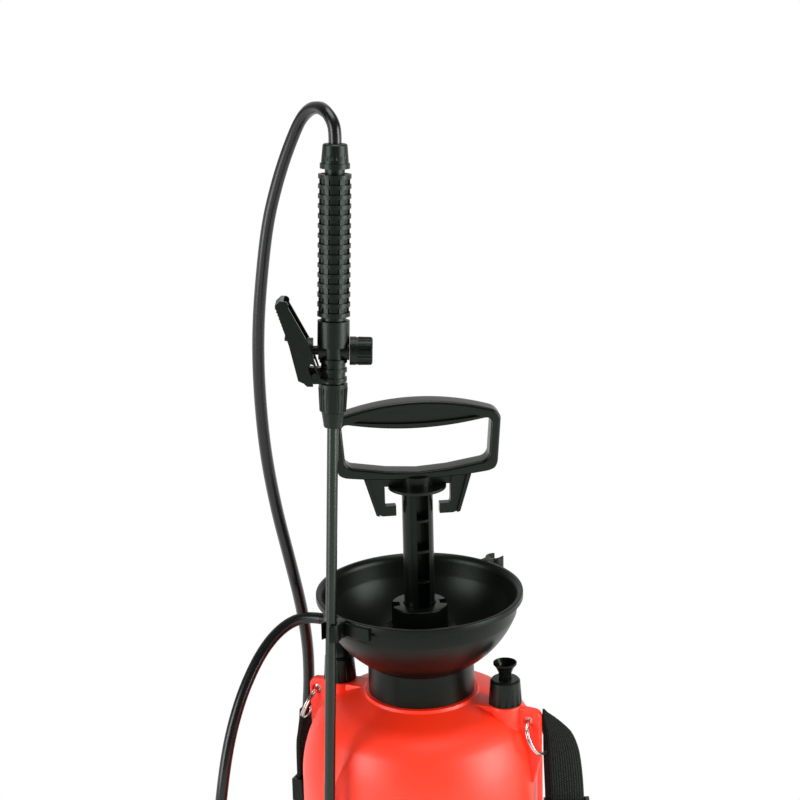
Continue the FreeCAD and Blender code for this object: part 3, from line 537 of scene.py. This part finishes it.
# The panel's edge softens and its floor rises to the wall between fadeLow and fadeTop
tankSetup = {"radius": 99.5, "wall": 4.0, "panelFrom": -24.0, "panelTo": 116.0, "panelShift": 8.0,
             "panelLow": 58.0, "panelTop": 247.0, "panelEdge": 3.8, "panelSoft": 2.5,
             "fadeLow": 196.0, "fadeTop": 243.0, "ridgeHalf": 10.0, "ridgeLow": 199,
             "ridgeTop": 258.2, "bossX": 73.0, "lugThick": 7.0, "rightLug": 103.6,
             "leftLug": 99.8, "holeX": 93.2, "holeZ": 247.0, "holeRadius": 3.9}
panelCore = profileOf([(90.5, 30), (90.5, 178), ("arc", 88.6, 208, 12), (80.4, 234.5),
                       ("arc", 74.5, 243, 6), (64, 251)])
panelSide = profileOf([(0, 30), (0, 195), ("arc", 4.6, 215, 8), (10.4, 230.5),
                       ("arc", 21, 239, 8), (44, 244.5), (60, 246)])


def alongHeight(points, z):
    for (x0, z0), (x1, z1) in zip(points, points[1:]):
        if z <= z1:
            return x0 + (x1 - x0) * max(z - z0, 0) / (z1 - z0)
    return points[-1][0]


def softStep(value):
    value = min(max(value, 0), 1)
    return value * value * (3 - 2 * value)


# How far the label panel sinks the tank's wall at one place
def panelDepth(setup, angle, r, z):
    if not setup["panelLow"] - 1 < z < setup["panelTop"] + 1:
        return 0
    side = (angle + 90 + 180) % 360 - 180
    inside = [min(z - setup["panelLow"], setup["panelTop"] - z)]
    for turn in (side - setup["panelFrom"], setup["panelTo"] - side):
        if turn < 90:
            inside.append(r * math.sin(math.radians(max(turn, -90))) - alongHeight(panelSide, z))
    off = math.radians(side - (setup["panelFrom"] + setup["panelTo"]) / 2)
    shift = setup["panelShift"]
    core = alongHeight(panelCore, z)
    floor = shift * math.cos(off) + math.sqrt(core ** 2 - (shift * math.sin(off)) ** 2)
    rise = softStep((z - setup["fadeLow"]) / (setup["fadeTop"] - setup["fadeLow"]))
    edge = setup["panelEdge"] * (1 + setup["panelSoft"] * rise)
    return max(r - floor, 0) * (1 - rise) * softStep(min(inside) / edge + 0.5)


def makeTank(setup):
    rad, wall = setup["radius"], setup["wall"]
    sides = [(rad, z) for z in (14, 35, 52, 56, 57, 58, 59, 60, 62, 75, 95, 115, 135, 150, 162,
                                172, 179, 185)]
    outer = profileOf([(0, 5), (68, 5), (73, 0), (88, 0), ("arc", 96.2, 3.5, 5)] + sides + [
        ("arc", 96.6, 212.5, 22), (87.2, 236.2), ("arc", 77.4, 246.2, 14), (62, 253.6),
        (54, 256.7), (47.2, 258.9), (46.5, 260.2), (46.1, 261.2), (35.5, 261.2), (35.5, 280),
        (31, 280)])
    inner = profileOf([
        (31, 255.4), (60.4, 249.6), ("arc", 73.8, 243, 8), (83.6, 233.4),
        ("arc", 92.6, 211.2, 12)] + [(r - wall, z) for r, z in reversed(sides)] + [
        (92.2, 7), (86, 4.6), (74, 4.6), (66, 9), (0, 9)])
    # Every 2 degrees, and every half a degree where the panel's two edges are
    angles = [a for a in range(-114, 246, 2) if not -118 < a < -92 and not 3 < a < 29]
    fine = [k * 0.5 for k in range(-236, -185)] + [k * 0.5 for k in range(7, 59)]
    angles = sorted(set([a % 360 for a in angles] + [a % 360 for a in fine]))

    def bend(angle, r, z, i):
        return r - panelDepth(setup, angle, r + (wall if i >= len(outer) else 0), z)

    shell = turnedForm(outer + inner, angles, bend, closed=False)
    half, bx, low, top = (setup[k] for k in ("ridgeHalf", "bossX", "ridgeLow", "ridgeTop"))
    ridge = plateForm([[(-bx, low), (bx, low), (bx, top), (-bx, top)]], half * 2, edge=1.5)
    parts = [shell, ridge]
    boss = profileOf([(0, low), (13.5, low), (13.5, 256.8), ("arc", 12.9, 258.4, 4), (11.3, 259),
                      (0, 259)])
    for side, tip in ((1, setup["rightLug"]), (-1, setup["leftLug"])):
        form = turnedForm(boss, range(0, 360, 6), closed=False)
        bmesh.ops.translate(form, verts=form.verts, vec=(side * bx / 1000, 0, 0))
        parts.append(form)
        lug = profileOf([(70, 205), (84, 257.6), (tip - 7.1, 256.9), ("arc", tip - 1.9, 255.0, 6),
                         (tip, 249.8), (tip - 0.6, 214), (min(tip - 0.6, 98.0), 193), (90, 193)])
        hole = circlePoints(side * setup["holeX"], setup["holeZ"], setup["holeRadius"])
        lug = [(side * x, z) for x, z in lug]
        parts.append(plateForm([lug, hole], setup["lugThick"], edge=1.1))
    mesh = joined("tankShell", parts, angle=34)
    tank = addMesh("tankShell", mesh, materials["tank"], "sprayer")
    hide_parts("tank")


makeTank(tankSetup)
print("tank done")

# Funnel: turned bowl, two lance clips on its rim and the thicker band at each

funnelSetup = {"turns": 144, "clipAngle": -114.3, "spareAngle": 71.0, "clipLow": 333.0,
               "clipTop": 347.0, "clipOut": 95.55, "jaw": 7.6, "seat": 4.7, "jawSteps": 8,
               "rootOut": 81.2, "rootHalf": 4.5, "bandBefore": 9, "bandAfter": 19,
               "bandInner": 81.5, "bandOuter": 86.4, "bandLow": 335.0, "bandTop": 345.6,
               "bandEdge": 0.5, "bandSteps": 14}


def clipForm(setup, angle):
    out, jaw, seat, root = (setup[k] for k in ("clipOut", "jaw", "seat", "rootHalf"))
    lip, back = (math.degrees(math.asin(half / jaw)) for half in (seat, root))
    steps = setup["jawSteps"]

    def around(radius, angles):
        return [(out + radius * math.cos(math.radians(a)), radius * math.sin(math.radians(a)))
                for a in angles]

    outline = [(setup["rootOut"], -root)]
    outline += around(jaw, [-180 + back + k * (180 - back - lip) / steps for k in range(steps + 1)])
    outline += around(seat, range(-90, -271, -15))
    outline += around(jaw, [lip + k * (180 - back - lip) / steps for k in range(steps + 1)])
    outline.append((setup["rootOut"], root))
    mesh = plateForm([outline], setup["clipTop"] - setup["clipLow"], edge=0.6)
    middle = (setup["clipTop"] + setup["clipLow"]) / 2000
    mesh.transform(Matrix.Rotation(math.radians(angle), 4, "Z")
                   @ Matrix.Translation((0, 0, middle)) @ Matrix.Rotation(-math.pi / 2, 4, "X"))
    return mesh


def bandForm(setup, angle):
    start, stop = angle - setup["bandBefore"], angle + setup["bandAfter"]
    inner, outer, low, top, edge, steps = (
        setup["band" + k] for k in ("Inner", "Outer", "Low", "Top", "Edge", "Steps"))
    profile = [(inner, low), (outer - edge, low), (outer, low + edge), (outer, top - edge),
               (outer - edge, top), (inner, top)]
    work = bmesh.new()
    rings = []
    for k in range(steps + 1):
        a = math.radians(start + (stop - start) * k / steps)
        rings.append([work.verts.new((r * math.cos(a) / 1000, r * math.sin(a) / 1000, z / 1000))
                      for r, z in profile])
    for near, far in zip(rings, rings[1:]):
        for i in range(len(profile)):
            j = (i + 1) % len(profile)
            work.faces.new((near[i], far[i], far[j], near[j]))
    work.faces.new(rings[0])
    work.faces.new(list(reversed(rings[-1])))
    return work


def makeFunnel(setup):
    bowl = profileOf([
        (36.2, 261.7), (42.8, 261.7), (43.2, 262.1), (43.2, 287), ("arc", 43.4, 288.0, 3),
        (44.4, 288.9), ("arc", 67.0, 309.2, 22), (78.4, 329.5), (79.6, 341.4), (83.2, 341.4),
        (83.7, 341.9), (83.7, 346.2), ("arc", 83.4, 346.8, 3), (82.8, 347), (81.2, 347),
        ("arc", 80.2, 346.4, 3), (77.4, 341.4), (76.1, 330.2), ("arc", 65.0, 311.0, 22),
        (43, 292.4), (33, 290.6), (33, 298), (24, 298), (24, 282.5), (36.2, 282.5)])
    step = 360 / setup["turns"]
    parts = [turnedForm(bowl, [k * step for k in range(setup["turns"])])]
    for angle in (setup["clipAngle"], setup["spareAngle"]):
        parts.append(clipForm(setup, angle))
        parts.append(bandForm(setup, angle))
    mesh = joined("funnelBowl", parts, angle=34)
    funnel = addMesh("funnelBowl", mesh, materials["funnel"], "sprayer")
    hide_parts("funnel")


makeFunnel(funnelSetup)

# Pump cap: full-height collar with two narrow entry notches on a wide base disc

# The two steps keep the notches' sides (in degrees) and floors (in millimetres) upright and flat
capSetup = {"notch": 13.6, "handleTurn": 29.0, "depth": 16.2, "notchLow": 316.2, "sideStep": 0.06,
            "lowStep": 0.05}


def makeCap(setup):
    low, step = setup["notchLow"], setup["lowStep"]
    outline = profileOf([
        (13.2, 336), (21.8, 336), ("arc", 22.5, 335.7, 3), (22.8, 335.0), (22.8, low + step),
        (22.8, low - step), (22.8, 314.2), ("arc", 23.0, 313.7, 2), (23.5, 313.5), (29.5, 313.5),
        (30, 313), (30, 300.6), (23.4, 300.6), (23.4, 284.2), (20.1, 284.2), (20.1, 300),
        (13.2, 300)])
    edges = [setup["handleTurn"] + turn + side * setup["notch"] + gap
             for turn in (0, 180) for side in (1, -1)
             for gap in (setup["sideStep"], -setup["sideStep"])]
    angles = sorted(set([a % 360 for a in edges] + list(range(0, 360, 5))))

    def bend(angle, r, z, i):
        side = (angle - setup["handleTurn"] + 90) % 180 - 90
        notched = abs(side) < setup["notch"] and z > low and r > setup["depth"]
        return setup["depth"] if notched else r

    mesh = joined("pumpCap", [turnedForm(outline, angles, bend)], angle=30)
    cap = addMesh("pumpCap", mesh, materials["gloss"], "pump")
    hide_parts("pump_cap")


makeCap(capSetup)
print("funnel and cap done")

# Smooth copies of the CAD nodes: merged, with edges sharper than the angle kept crisp

nodeFinish = {
    "neck_gasket": ("rubber", 40), "pump_gasket": ("rubber", 40), "pump_barrel": ("satin", 40),
    "foot_valve": ("rubber", 40), "piston": ("satin", 40), "piston_seal": ("rubber", 40),
    "pump_rod": ("gloss", 30), "pump_grip": ("satin", 30), "relief_nut": ("satin", 32),
    "relief_seat": ("satin", 40), "relief_knob": ("gloss", 34), "relief_spring": ("wire", 40),
    "outlet_nut": ("satin", 32), "outlet_elbow": ("satin", 34), "dip_tube": ("milky", 40),
    "dip_strainer": ("satin", 40), "hose_nut": ("grip", 32), "wand_grip": ("grip", 32),
    "valve_body": ("grip", 32), "valve_cap": ("grip", 32), "push_pin": ("grip", 32),
    "pin_spring": ("wire", 40), "lever": ("satin", 30), "lever_pin": ("satin", 40),
    "cone_nut": ("grip", 32), "lance_seal": ("rubber", 40), "lance_tube": ("lance", 40),
    "nozzle_body": ("satin", 34), "nozzle_cap": ("satin", 34), "right_ring": ("wire", 50),
    "left_ring": ("wire", 50), "right_slider": ("satin", 34), "left_slider": ("satin", 34),
}


# Heights from the photograph for pieces whose solids stand a little off it, in millimetres:
# (height in the frame, height here). The lever's are along the wand.
trimHeights = {
    "pump_grip": [(410.5, 413), (411.6, 414.1), (421.4, 421.4), (425, 425.6), (432.4, 435.4),
                  (435, 437.6), (444.9, 444.4), (447.8, 445.6), (455.5, 450.2), (461.4, 456.1),
                  (469.6, 464.3), (487.4, 486.4), (492, 490.2), (494, 491.8), (499.7, 495.4),
                  (504.5, 499.5), (513.6, 508.6)],
    "relief_knob": [(253, 253), (263.8, 263.8), (280, 279), (286.5, 284), (297, 294.5)],
    "right_slider": [(150, 144), (200, 194)], "left_slider": [(140, 132), (190, 182)]}
leverHeights = [(195.6, 198), (198.6, 200.4), (201.6, 202.2), (203, 203), (229.4, 229.4),
                (261.4, 258.8), (266.2, 263.2)]
wandSetup = {"foot": (-39.3, -87.1, 340.0), "lean": -5.6, "turn": 23.0}
wandPlace = (Matrix.Translation(Vector(wandSetup["foot"]) / 1000)
             @ Matrix.Rotation(math.radians(wandSetup["lean"]), 4, "X")
             @ Matrix.Rotation(math.radians(wandSetup["turn"]), 4, "Z"))


def remapped(pairs, value):
    if value <= pairs[0][0]:
        return value + pairs[0][1] - pairs[0][0]
    for (a, b), (c, d) in zip(pairs, pairs[1:]):
        if value <= c:
            return b + (d - b) * (value - a) / (c - a)
    return value + pairs[-1][1] - pairs[-1][0]


def moveHeights(mesh, pairs):
    for vertex in mesh.vertices:
        vertex.co.z = remapped(pairs, vertex.co.z * 1000) / 1000


def finishNode(name, finish, angle):
    source = nodes[name]
    mesh = source.data.copy()
    mesh.name = name + "Skin"
    if name in trimHeights:
        moveHeights(mesh, trimHeights[name])
    if name == "lever":
        mesh.transform(wandPlace.inverted())
        moveHeights(mesh, leverHeights)
        mesh.transform(wandPlace)
    work = bmesh.new()
    work.from_mesh(mesh)
    bmesh.ops.remove_doubles(work, verts=work.verts, dist=2e-6)
    bmesh.ops.dissolve_degenerate(work, edges=work.edges, dist=1e-7)
    crispEdges(work, angle)
    work.to_mesh(mesh)
    work.free()
    piece = addMesh(name + "Skin", mesh, materials[finish], source["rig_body"])
    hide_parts(name)


for nodeName, (finish, angle) in nodeFinish.items():
    finishNode(nodeName, finish, angle)
print("nodes finished:", len(nodeFinish))

# Ribs, thumb serrations and stitches: bars on a ring or in a row, by Geometry Nodes


def newBars(name, inputs):
    group = bpy.data.node_groups.new(name, "GeometryNodeTree")
    for label, kind in inputs + [("Size", "NodeSocketVector"), ("Finish", "NodeSocketMaterial")]:
        group.interface.new_socket(name=label, in_out="INPUT", socket_type=kind)
    group.interface.new_socket(name="Geometry", in_out="OUTPUT", socket_type="NodeSocketGeometry")
    return group, group.nodes.new("NodeGroupInput")


def barsOn(group, taken, points, turn):
    bar, put, real, dress = (group.nodes.new("GeometryNode" + kind) for kind in (
        "MeshCube", "InstanceOnPoints", "RealizeInstances", "SetMaterial"))
    group.links.new(taken.outputs["Size"], bar.inputs["Size"])
    group.links.new(points, put.inputs["Points"])
    group.links.new(bar.outputs["Mesh"], put.inputs["Instance"])
    group.links.new(turn, put.inputs["Rotation"])
    group.links.new(put.outputs["Instances"], real.inputs[0])
    group.links.new(real.outputs[0], dress.inputs["Geometry"])
    group.links.new(taken.outputs["Finish"], dress.inputs["Material"])
    group.links.new(dress.outputs[0], group.nodes.new("NodeGroupOutput").inputs["Geometry"])
    return group


def makeBarRing():
    group, taken = newBars("barRing", [("Count", "NodeSocketInt"), ("Radius", "NodeSocketFloat"),
                                       ("Tilt", "NodeSocketFloat")])
    ring = group.nodes.new("GeometryNodeMeshCircle")
    group.links.new(taken.outputs["Count"], ring.inputs["Vertices"])
    group.links.new(taken.outputs["Radius"], ring.inputs["Radius"])
    index = group.nodes.new("GeometryNodeInputIndex").outputs[0]
    share = mathNode(group, "DIVIDE", index, taken.outputs["Count"])
    turn = group.nodes.new("ShaderNodeCombineXYZ")
    group.links.new(taken.outputs["Tilt"], turn.inputs["Y"])
    group.links.new(mathNode(group, "MULTIPLY", share, 2 * math.pi), turn.inputs["Z"])
    return barsOn(group, taken, ring.outputs[0], turn.outputs[0])


def makeBarRow():
    group, taken = newBars("barRow", [("Count", "NodeSocketInt"), ("Step", "NodeSocketVector"),
                                      ("Turn", "NodeSocketVector")])
    row = group.nodes.new("GeometryNodeMeshLine")
    group.links.new(taken.outputs["Count"], row.inputs["Count"])
    group.links.new(taken.outputs["Step"], row.inputs["Offset"])
    return barsOn(group, taken, row.outputs[0], taken.outputs["Turn"])


barRing, barRow = makeBarRing(), makeBarRow()


def grownMesh(name, group, values):
    holder = bpy.data.objects.new(name, bpy.data.meshes.new(name + "Holder"))
    bpy.context.scene.collection.objects.link(holder)
    modifier = holder.modifiers.new("bars", "NODES")
    modifier.node_group = group
    for item in group.interface.items_tree:
        if item.in_out == "INPUT":
            modifier[item.identifier] = values[item.name]
    mesh = asMesh(holder, name)
    holder.modifiers.remove(modifier)
    bpy.data.objects.remove(holder)
    return mesh


# Each set: node group, its values in metres, material, place, body and slot
barSets = {
    "coneNutRibs": (
        barRing, {"Count": 24, "Radius": 0.01015, "Tilt": 0.056, "Size": (0.0013, 0.0014, 0.0182)},
        "grip", wandPlace @ Matrix.Translation((0, 0, 0.1862)), "wand", "black_plastic"),
    "sideCapRibs": (
        barRing, {"Count": 26, "Radius": 0.01015, "Tilt": -0.02, "Size": (0.0012, 0.0013, 0.0098)},
        "grip", wandPlace @ Matrix.Translation((0.0240, 0, 0.2237))
        @ Matrix.Rotation(math.pi / 2, 4, "Y"), "wand", "black_plastic"),
    "thumbRidges": (
        barRow, {"Count": 10, "Step": (0.00101, 0, -0.0026), "Turn": (0, 0.36, 0),
                 "Size": (0.0012, 0.015, 0.0011)},
        "satin", wandPlace @ Matrix.Translation((-0.0437, 0, 0.2565)), "trigger", "black_plastic"),
    "rightStitches": (
        barRow, {"Count": 8, "Step": (0.0033, 0, 0), "Turn": (0, 0, 0),
                 "Size": (0.0021, 0.0006, 0.0005)},
        "rubber", Matrix.Rotation(math.radians(cameraSetup["turn"]), 4, "Z")
        @ Matrix.Translation((0.1025, -0.0398, 0.180)), "right_strap_end", "webbing"),
    "leftStitches": (
        barRow, {"Count": 7, "Step": (0, 0.0033, 0), "Turn": (0, 0, 0),
                 "Size": (0.0005, 0.0021, 0.0006)},
        "rubber", Matrix.Translation((-0.1097, -0.0099, 0.192)), "left_strap_end", "webbing"),
}
for barName, (barGroup, values, finish, place, body, slot) in barSets.items():
    mesh = grownMesh(barName, barGroup, {**values, "Finish": materials[finish]})
    mesh.transform(place)
    addMesh(barName, mesh, materials[finish], body)
print("bars:", len(barSets))

# Shoulder strap: flat webbing as stations of centre, width direction, thickness direction and width

strapSetup = {"thick": 0.0016, "foldThick": 0.0036, "wide": 0.030, "step": 0.004}
viewTurn = math.radians(cameraSetup["turn"])
viewAcross = Vector((math.cos(viewTurn), math.sin(viewTurn), 0))
viewAway = Vector((-math.sin(viewTurn), math.cos(viewTurn), 0))


# A place seen from the camera's side: across the view, away from it, and up
def sidePlace(across, away, height):
    return viewAcross * across + viewAway * away + Vector((0, 0, height))


def fromView(x, y, z):
    return sidePlace(x / 1000, y / 1000, z / 1000)


def spot(x, y, z):
    return Vector((x, y, z)) / 1000


# A smooth curve through the rows: the value at row t, with t running through the row numbers
def between(rows, t):
    count = len(rows) - 1
    i = min(int(t), count - 1)
    f = t - i
    a, b, c, d = rows[max(i - 1, 0)], rows[i], rows[i + 1], rows[min(i + 2, count)]
    bow, swing = a * 2 - b * 5 + c * 4 - d, b * 3 - a - c * 3 + d
    return (b * 2 + (c - a) * f + bow * f * f + swing * f ** 3) * 0.5


def ribbonMesh(name, stations, thick):
    rows = [[Vector(centre), Vector(across).normalized(), Vector(out).normalized(),
             Vector((wide, 0, 0))] for centre, across, out, wide in stations]
    mesh = bpy.data.meshes.new(name)
    work = bmesh.new()
    layer = work.loops.layers.uv.new("weave")
    profile = [(-0.5, 0.0), (-0.46, 0.5), (-0.2, 0.5), (0.2, 0.5), (0.46, 0.5), (0.5, 0.0),
               (0.46, -0.5), (0.2, -0.5), (-0.2, -0.5), (-0.46, -0.5)]
    rings, lengths, last, run = [], [], None, 0.0
    for i in range(len(rows) - 1):
        count = max(2, round((rows[i + 1][0] - rows[i][0]).length / strapSetup["step"]))
        for k in range(count + (i == len(rows) - 2)):
            t = i + k / count
            centre, across, out, wide = (between([r[j] for r in rows], t) for j in range(4))
            across.normalize()
            out = (out - across * out.dot(across)).normalized()
            run += (centre - last).length if last else 0.0
            last = centre
            rings.append([work.verts.new(centre + across * (px * wide.x) + out * (pz * thick))
                          for px, pz in profile])
            lengths.append(run)
    n = len(profile)
    for a in range(len(rings) - 1):
        for k in range(n):
            m = (k + 1) % n
            face = work.faces.new((rings[a][k], rings[a][m], rings[a + 1][m], rings[a + 1][k]))
            face.smooth = True
            for loop, (p, q) in zip(face.loops, ((k, a), (m, a), (m, a + 1), (k, a + 1))):
                loop[layer].uv = (profile[p][0] * strapSetup["wide"] * 1000, lengths[q] * 1000)
    work.faces.new(list(reversed(rings[0])))
    work.faces.new(rings[-1])
    bmesh.ops.recalc_face_normals(work, faces=work.faces)
    work.to_mesh(mesh)
    work.free()
    return mesh


wide, thick, foldThick = (strapSetup[k] for k in ("wide", "thick", "foldThick"))
rightEnd = [(fromView(x, -38, z), viewAcross, viewAway, width / 1000) for x, z, width in (
    (97.4, 256.2, 1.6), (98.6, 253.2, 4.6), (101.2, 249.2, 10.6), (104.8, 243.3, 17.2),
    (108.1, 236.8, 22.6), (110.0, 229, 26.3), (111.4, 220, 29.0), (112.4, 209.3, 30.4),
    (113.2, 197.7, 31.2), (113.9, 184, 31.6), (114.2, 172, 31.6), (115.2, 160, 30.0))]
leftEnd = [
    (spot(-107.2, 0, 227), (0, 1, 0), (1, 0, 0.1), 0.012),
    (spot(-107.2, 0, 219), (0, 1, 0), (1, 0, 0.1), 0.015),
    (spot(-107.2, 0, 208), (0, 1, 0), (1, 0, 0.05), 0.024),
    (spot(-107.6, 0, 196), (0, 1, 0), (1, 0, 0), 0.030),
    (spot(-108, 0, 152), (0, 1, 0), (1, 0, 0), 0.030)]
rightRun = [
    (fromView(115.2, -38, 160), viewAcross, viewAway, wide),
    (fromView(116.4, -38, 120), viewAcross, viewAway, wide),
    (spot(118.5, 8.5, 80), (1, 0.36, 0), (-0.36, 1, 0), wide),
    (spot(117.5, 9.5, 44), (1, 0.2, 0), (-0.2, 1, 0.05), wide),
    (spot(116.5, 13, 18), (1, 0.08, 0), (-0.06, 1, 0.5), wide),
    (spot(116, 21, 5.5), (1, 0, 0), (0, 0.6, 0.8), wide),
    (spot(116, 34, 0.8), (1, 0, 0), (0, 0, 1), wide),
    (spot(116, 150, 0.8), (1, 0, 0), (0, 0, 1), wide)]
leftRun = [
    (spot(-108, 0, 152), (0, 1, 0), (1, 0, 0), wide),
    (spot(-109.4, 0, 124), (0.1, 1, 0), (1, -0.1, 0), wide),
    (spot(-112.6, 2, 98), (0.55, 1, 0), (1, -0.55, 0), wide),
    (spot(-115.4, 5, 72), (1, 0.8, 0), (0.8, -1, 0), wide),
    (spot(-115.8, 9, 44), (1, 0.2, 0), (0.2, -1, -0.05), wide),
    (spot(-115.4, 15, 19), (1, 0.05, 0), (0.05, -1, -0.5), wide),
    (spot(-115, 23, 5.5), (1, 0, 0), (0, -0.6, -0.8), wide),
    (spot(-115, 36, 0.8), (1, 0, 0), (0, 0, -1), wide),
    (spot(-115, 150, 0.8), (1, 0, 0), (0, 0, -1), wide)]
backRun = [(spot(-130, 135, 2.4), (0, 1, 0), (0, 0, 1), wide),
           (spot(131, 135, 2.4), (0, 1, 0), (0, 0, 1), wide)]

for pieceName, node, stations, depth, body in (
        ("rightStrapEnd", "right_loop", rightEnd, foldThick, "right_strap_end"),
        ("leftStrapEnd", "left_loop", leftEnd, foldThick, "left_strap_end"),
        ("rightStrapRun", "strap_right_run", rightRun, thick, None),
        ("leftStrapRun", "strap_left_run", leftRun, thick, None),
        ("backStrapRun", "strap_back_run", backRun, thick, "sprayer")):
    # The right loop takes the webbing with painted shade at its fold
    cloth = materials["folded" if node == "right_loop" else "webbing"]
    piece = addMesh(pieceName, ribbonMesh(pieceName, stations, depth), cloth, body)
    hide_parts(node)
    if not body:
        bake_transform(piece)
print("strap done")

# Pale floor that fades to white, white surroundings and soft studio lamps

# near and far are where the floor's fade starts and ends, in metres. world lights the object,
# mirrored and behind are what its gloss shows of the world in front and at the back.
studio = {"white": 0.9, "floorRadius": 9, "near": 0.17, "far": 0.36, "world": 0.36,
          "mirrored": 0.04, "behind": 1.1, "behindFrom": 0.3}


def floorMaterial():
    material, tree, shader = newMaterial("paleFloor")
    shader.inputs["Base Color"].default_value = (studio["white"],) * 3 + (1,)
    shader.inputs["Roughness"].default_value = 0.7
    white = tree.nodes.new("ShaderNodeEmission")
    mix = tree.nodes.new("ShaderNodeMixShader")
    place = objectPlace(tree)
    length = tree.nodes.new("ShaderNodeVectorMath")
    length.operation = "LENGTH"
    tree.links.new(place, length.inputs[0])
    fade = tree.nodes.new("ShaderNodeMapRange")
    fade.interpolation_type = "SMOOTHSTEP"
    fade.inputs["From Min"].default_value = studio["near"]
    fade.inputs["From Max"].default_value = studio["far"]
    tree.links.new(length.outputs["Value"], fade.inputs["Value"])
    rays = tree.nodes.new("ShaderNodeLightPath")
    seen = mathNode(tree, "MAXIMUM", rays.outputs["Is Camera Ray"], rays.outputs["Is Glossy Ray"])
    seen = mathNode(tree, "MAXIMUM", seen, rays.outputs["Is Transmission Ray"])
    tree.links.new(mathNode(tree, "MULTIPLY", fade.outputs["Result"], seen), mix.inputs["Fac"])
    tree.links.new(shader.outputs[0], mix.inputs[1])
    tree.links.new(white.outputs[0], mix.inputs[2])
    tree.links.new(mix.outputs[0], tree.nodes["Material Output"].inputs["Surface"])
    return material


def makeStudio():
    work = bmesh.new()
    bmesh.ops.create_circle(work, cap_ends=True, segments=64, radius=studio["floorRadius"])
    mesh = bpy.data.meshes.new("studioFloor")
    work.to_mesh(mesh)
    work.free()
    floor = addMesh("studioFloor", mesh, floorMaterial())
    world = bpy.data.worlds.new("studio")
    world.use_nodes = True
    tree = world.node_tree
    background = tree.nodes["Background"]
    background.inputs["Color"].default_value = (1, 1, 1, 1)
    rays = tree.nodes.new("ShaderNodeLightPath")
    camera = mathNode(tree, "MULTIPLY", rays.outputs["Is Camera Ray"], 1 - studio["world"])
    level = mathNode(tree, "ADD", camera, studio["world"])
    behind = tree.nodes.new("ShaderNodeVectorMath")
    behind.operation = "DOT_PRODUCT"
    behind.inputs[1].default_value = viewAway
    direction = tree.nodes.new("ShaderNodeTexCoord").outputs["Generated"]
    tree.links.new(direction, behind.inputs[0])
    back = mathNode(tree, "SUBTRACT", behind.outputs["Value"], studio["behindFrom"], True)
    back = mathNode(tree, "MULTIPLY", back, studio["behind"])
    change = mathNode(tree, "ADD", back, studio["mirrored"] - studio["world"])
    change = mathNode(tree, "MULTIPLY", rays.outputs["Is Glossy Ray"], change)
    tree.links.new(mathNode(tree, "ADD", level, change), background.inputs["Strength"])
    bpy.context.scene.world = world


# Each lamp: its place as sidePlace has it, the height that it points at, its width and height in
# metres, its watts, and whether the object's gloss shows it
lamps = {
    "keyLamp": ((-1.9, -0.98, 0.74), 0.3, (1.15, 1.5), 34, True),
    "rightLamp": ((1.92, -0.7, 0.7), 0.28, (1.25, 1.5), 46, True),
    "topLamp": ((0.1, 0.1, 2.4), 0.3, (1.3, 1.3), 24, True),
    "fillLamp": ((-0.2, -2.3, 1.1), 0.25, (1.6, 1.4), 12, False),
}


def areaLamp(name, place, aim, size, watts, mirrored):
    data = bpy.data.lights.new(name, "AREA")
    data.shape, data.energy = "RECTANGLE", watts
    data.size, data.size_y = size
    lamp = bpy.data.objects.new(name, data)
    bpy.context.scene.collection.objects.link(lamp)
    lamp.location = sidePlace(*place)
    turn = (Vector((0, 0, aim)) - sidePlace(*place)).to_track_quat("-Z", "Y")
    lamp.rotation_euler = turn.to_euler()
    lamp.visible_glossy = mirrored


makeStudio()
for lampName, lampSetup in lamps.items():
    areaLamp(lampName, *lampSetup)
bpy.context.scene.view_settings.view_transform = "Standard"
print("studio done")
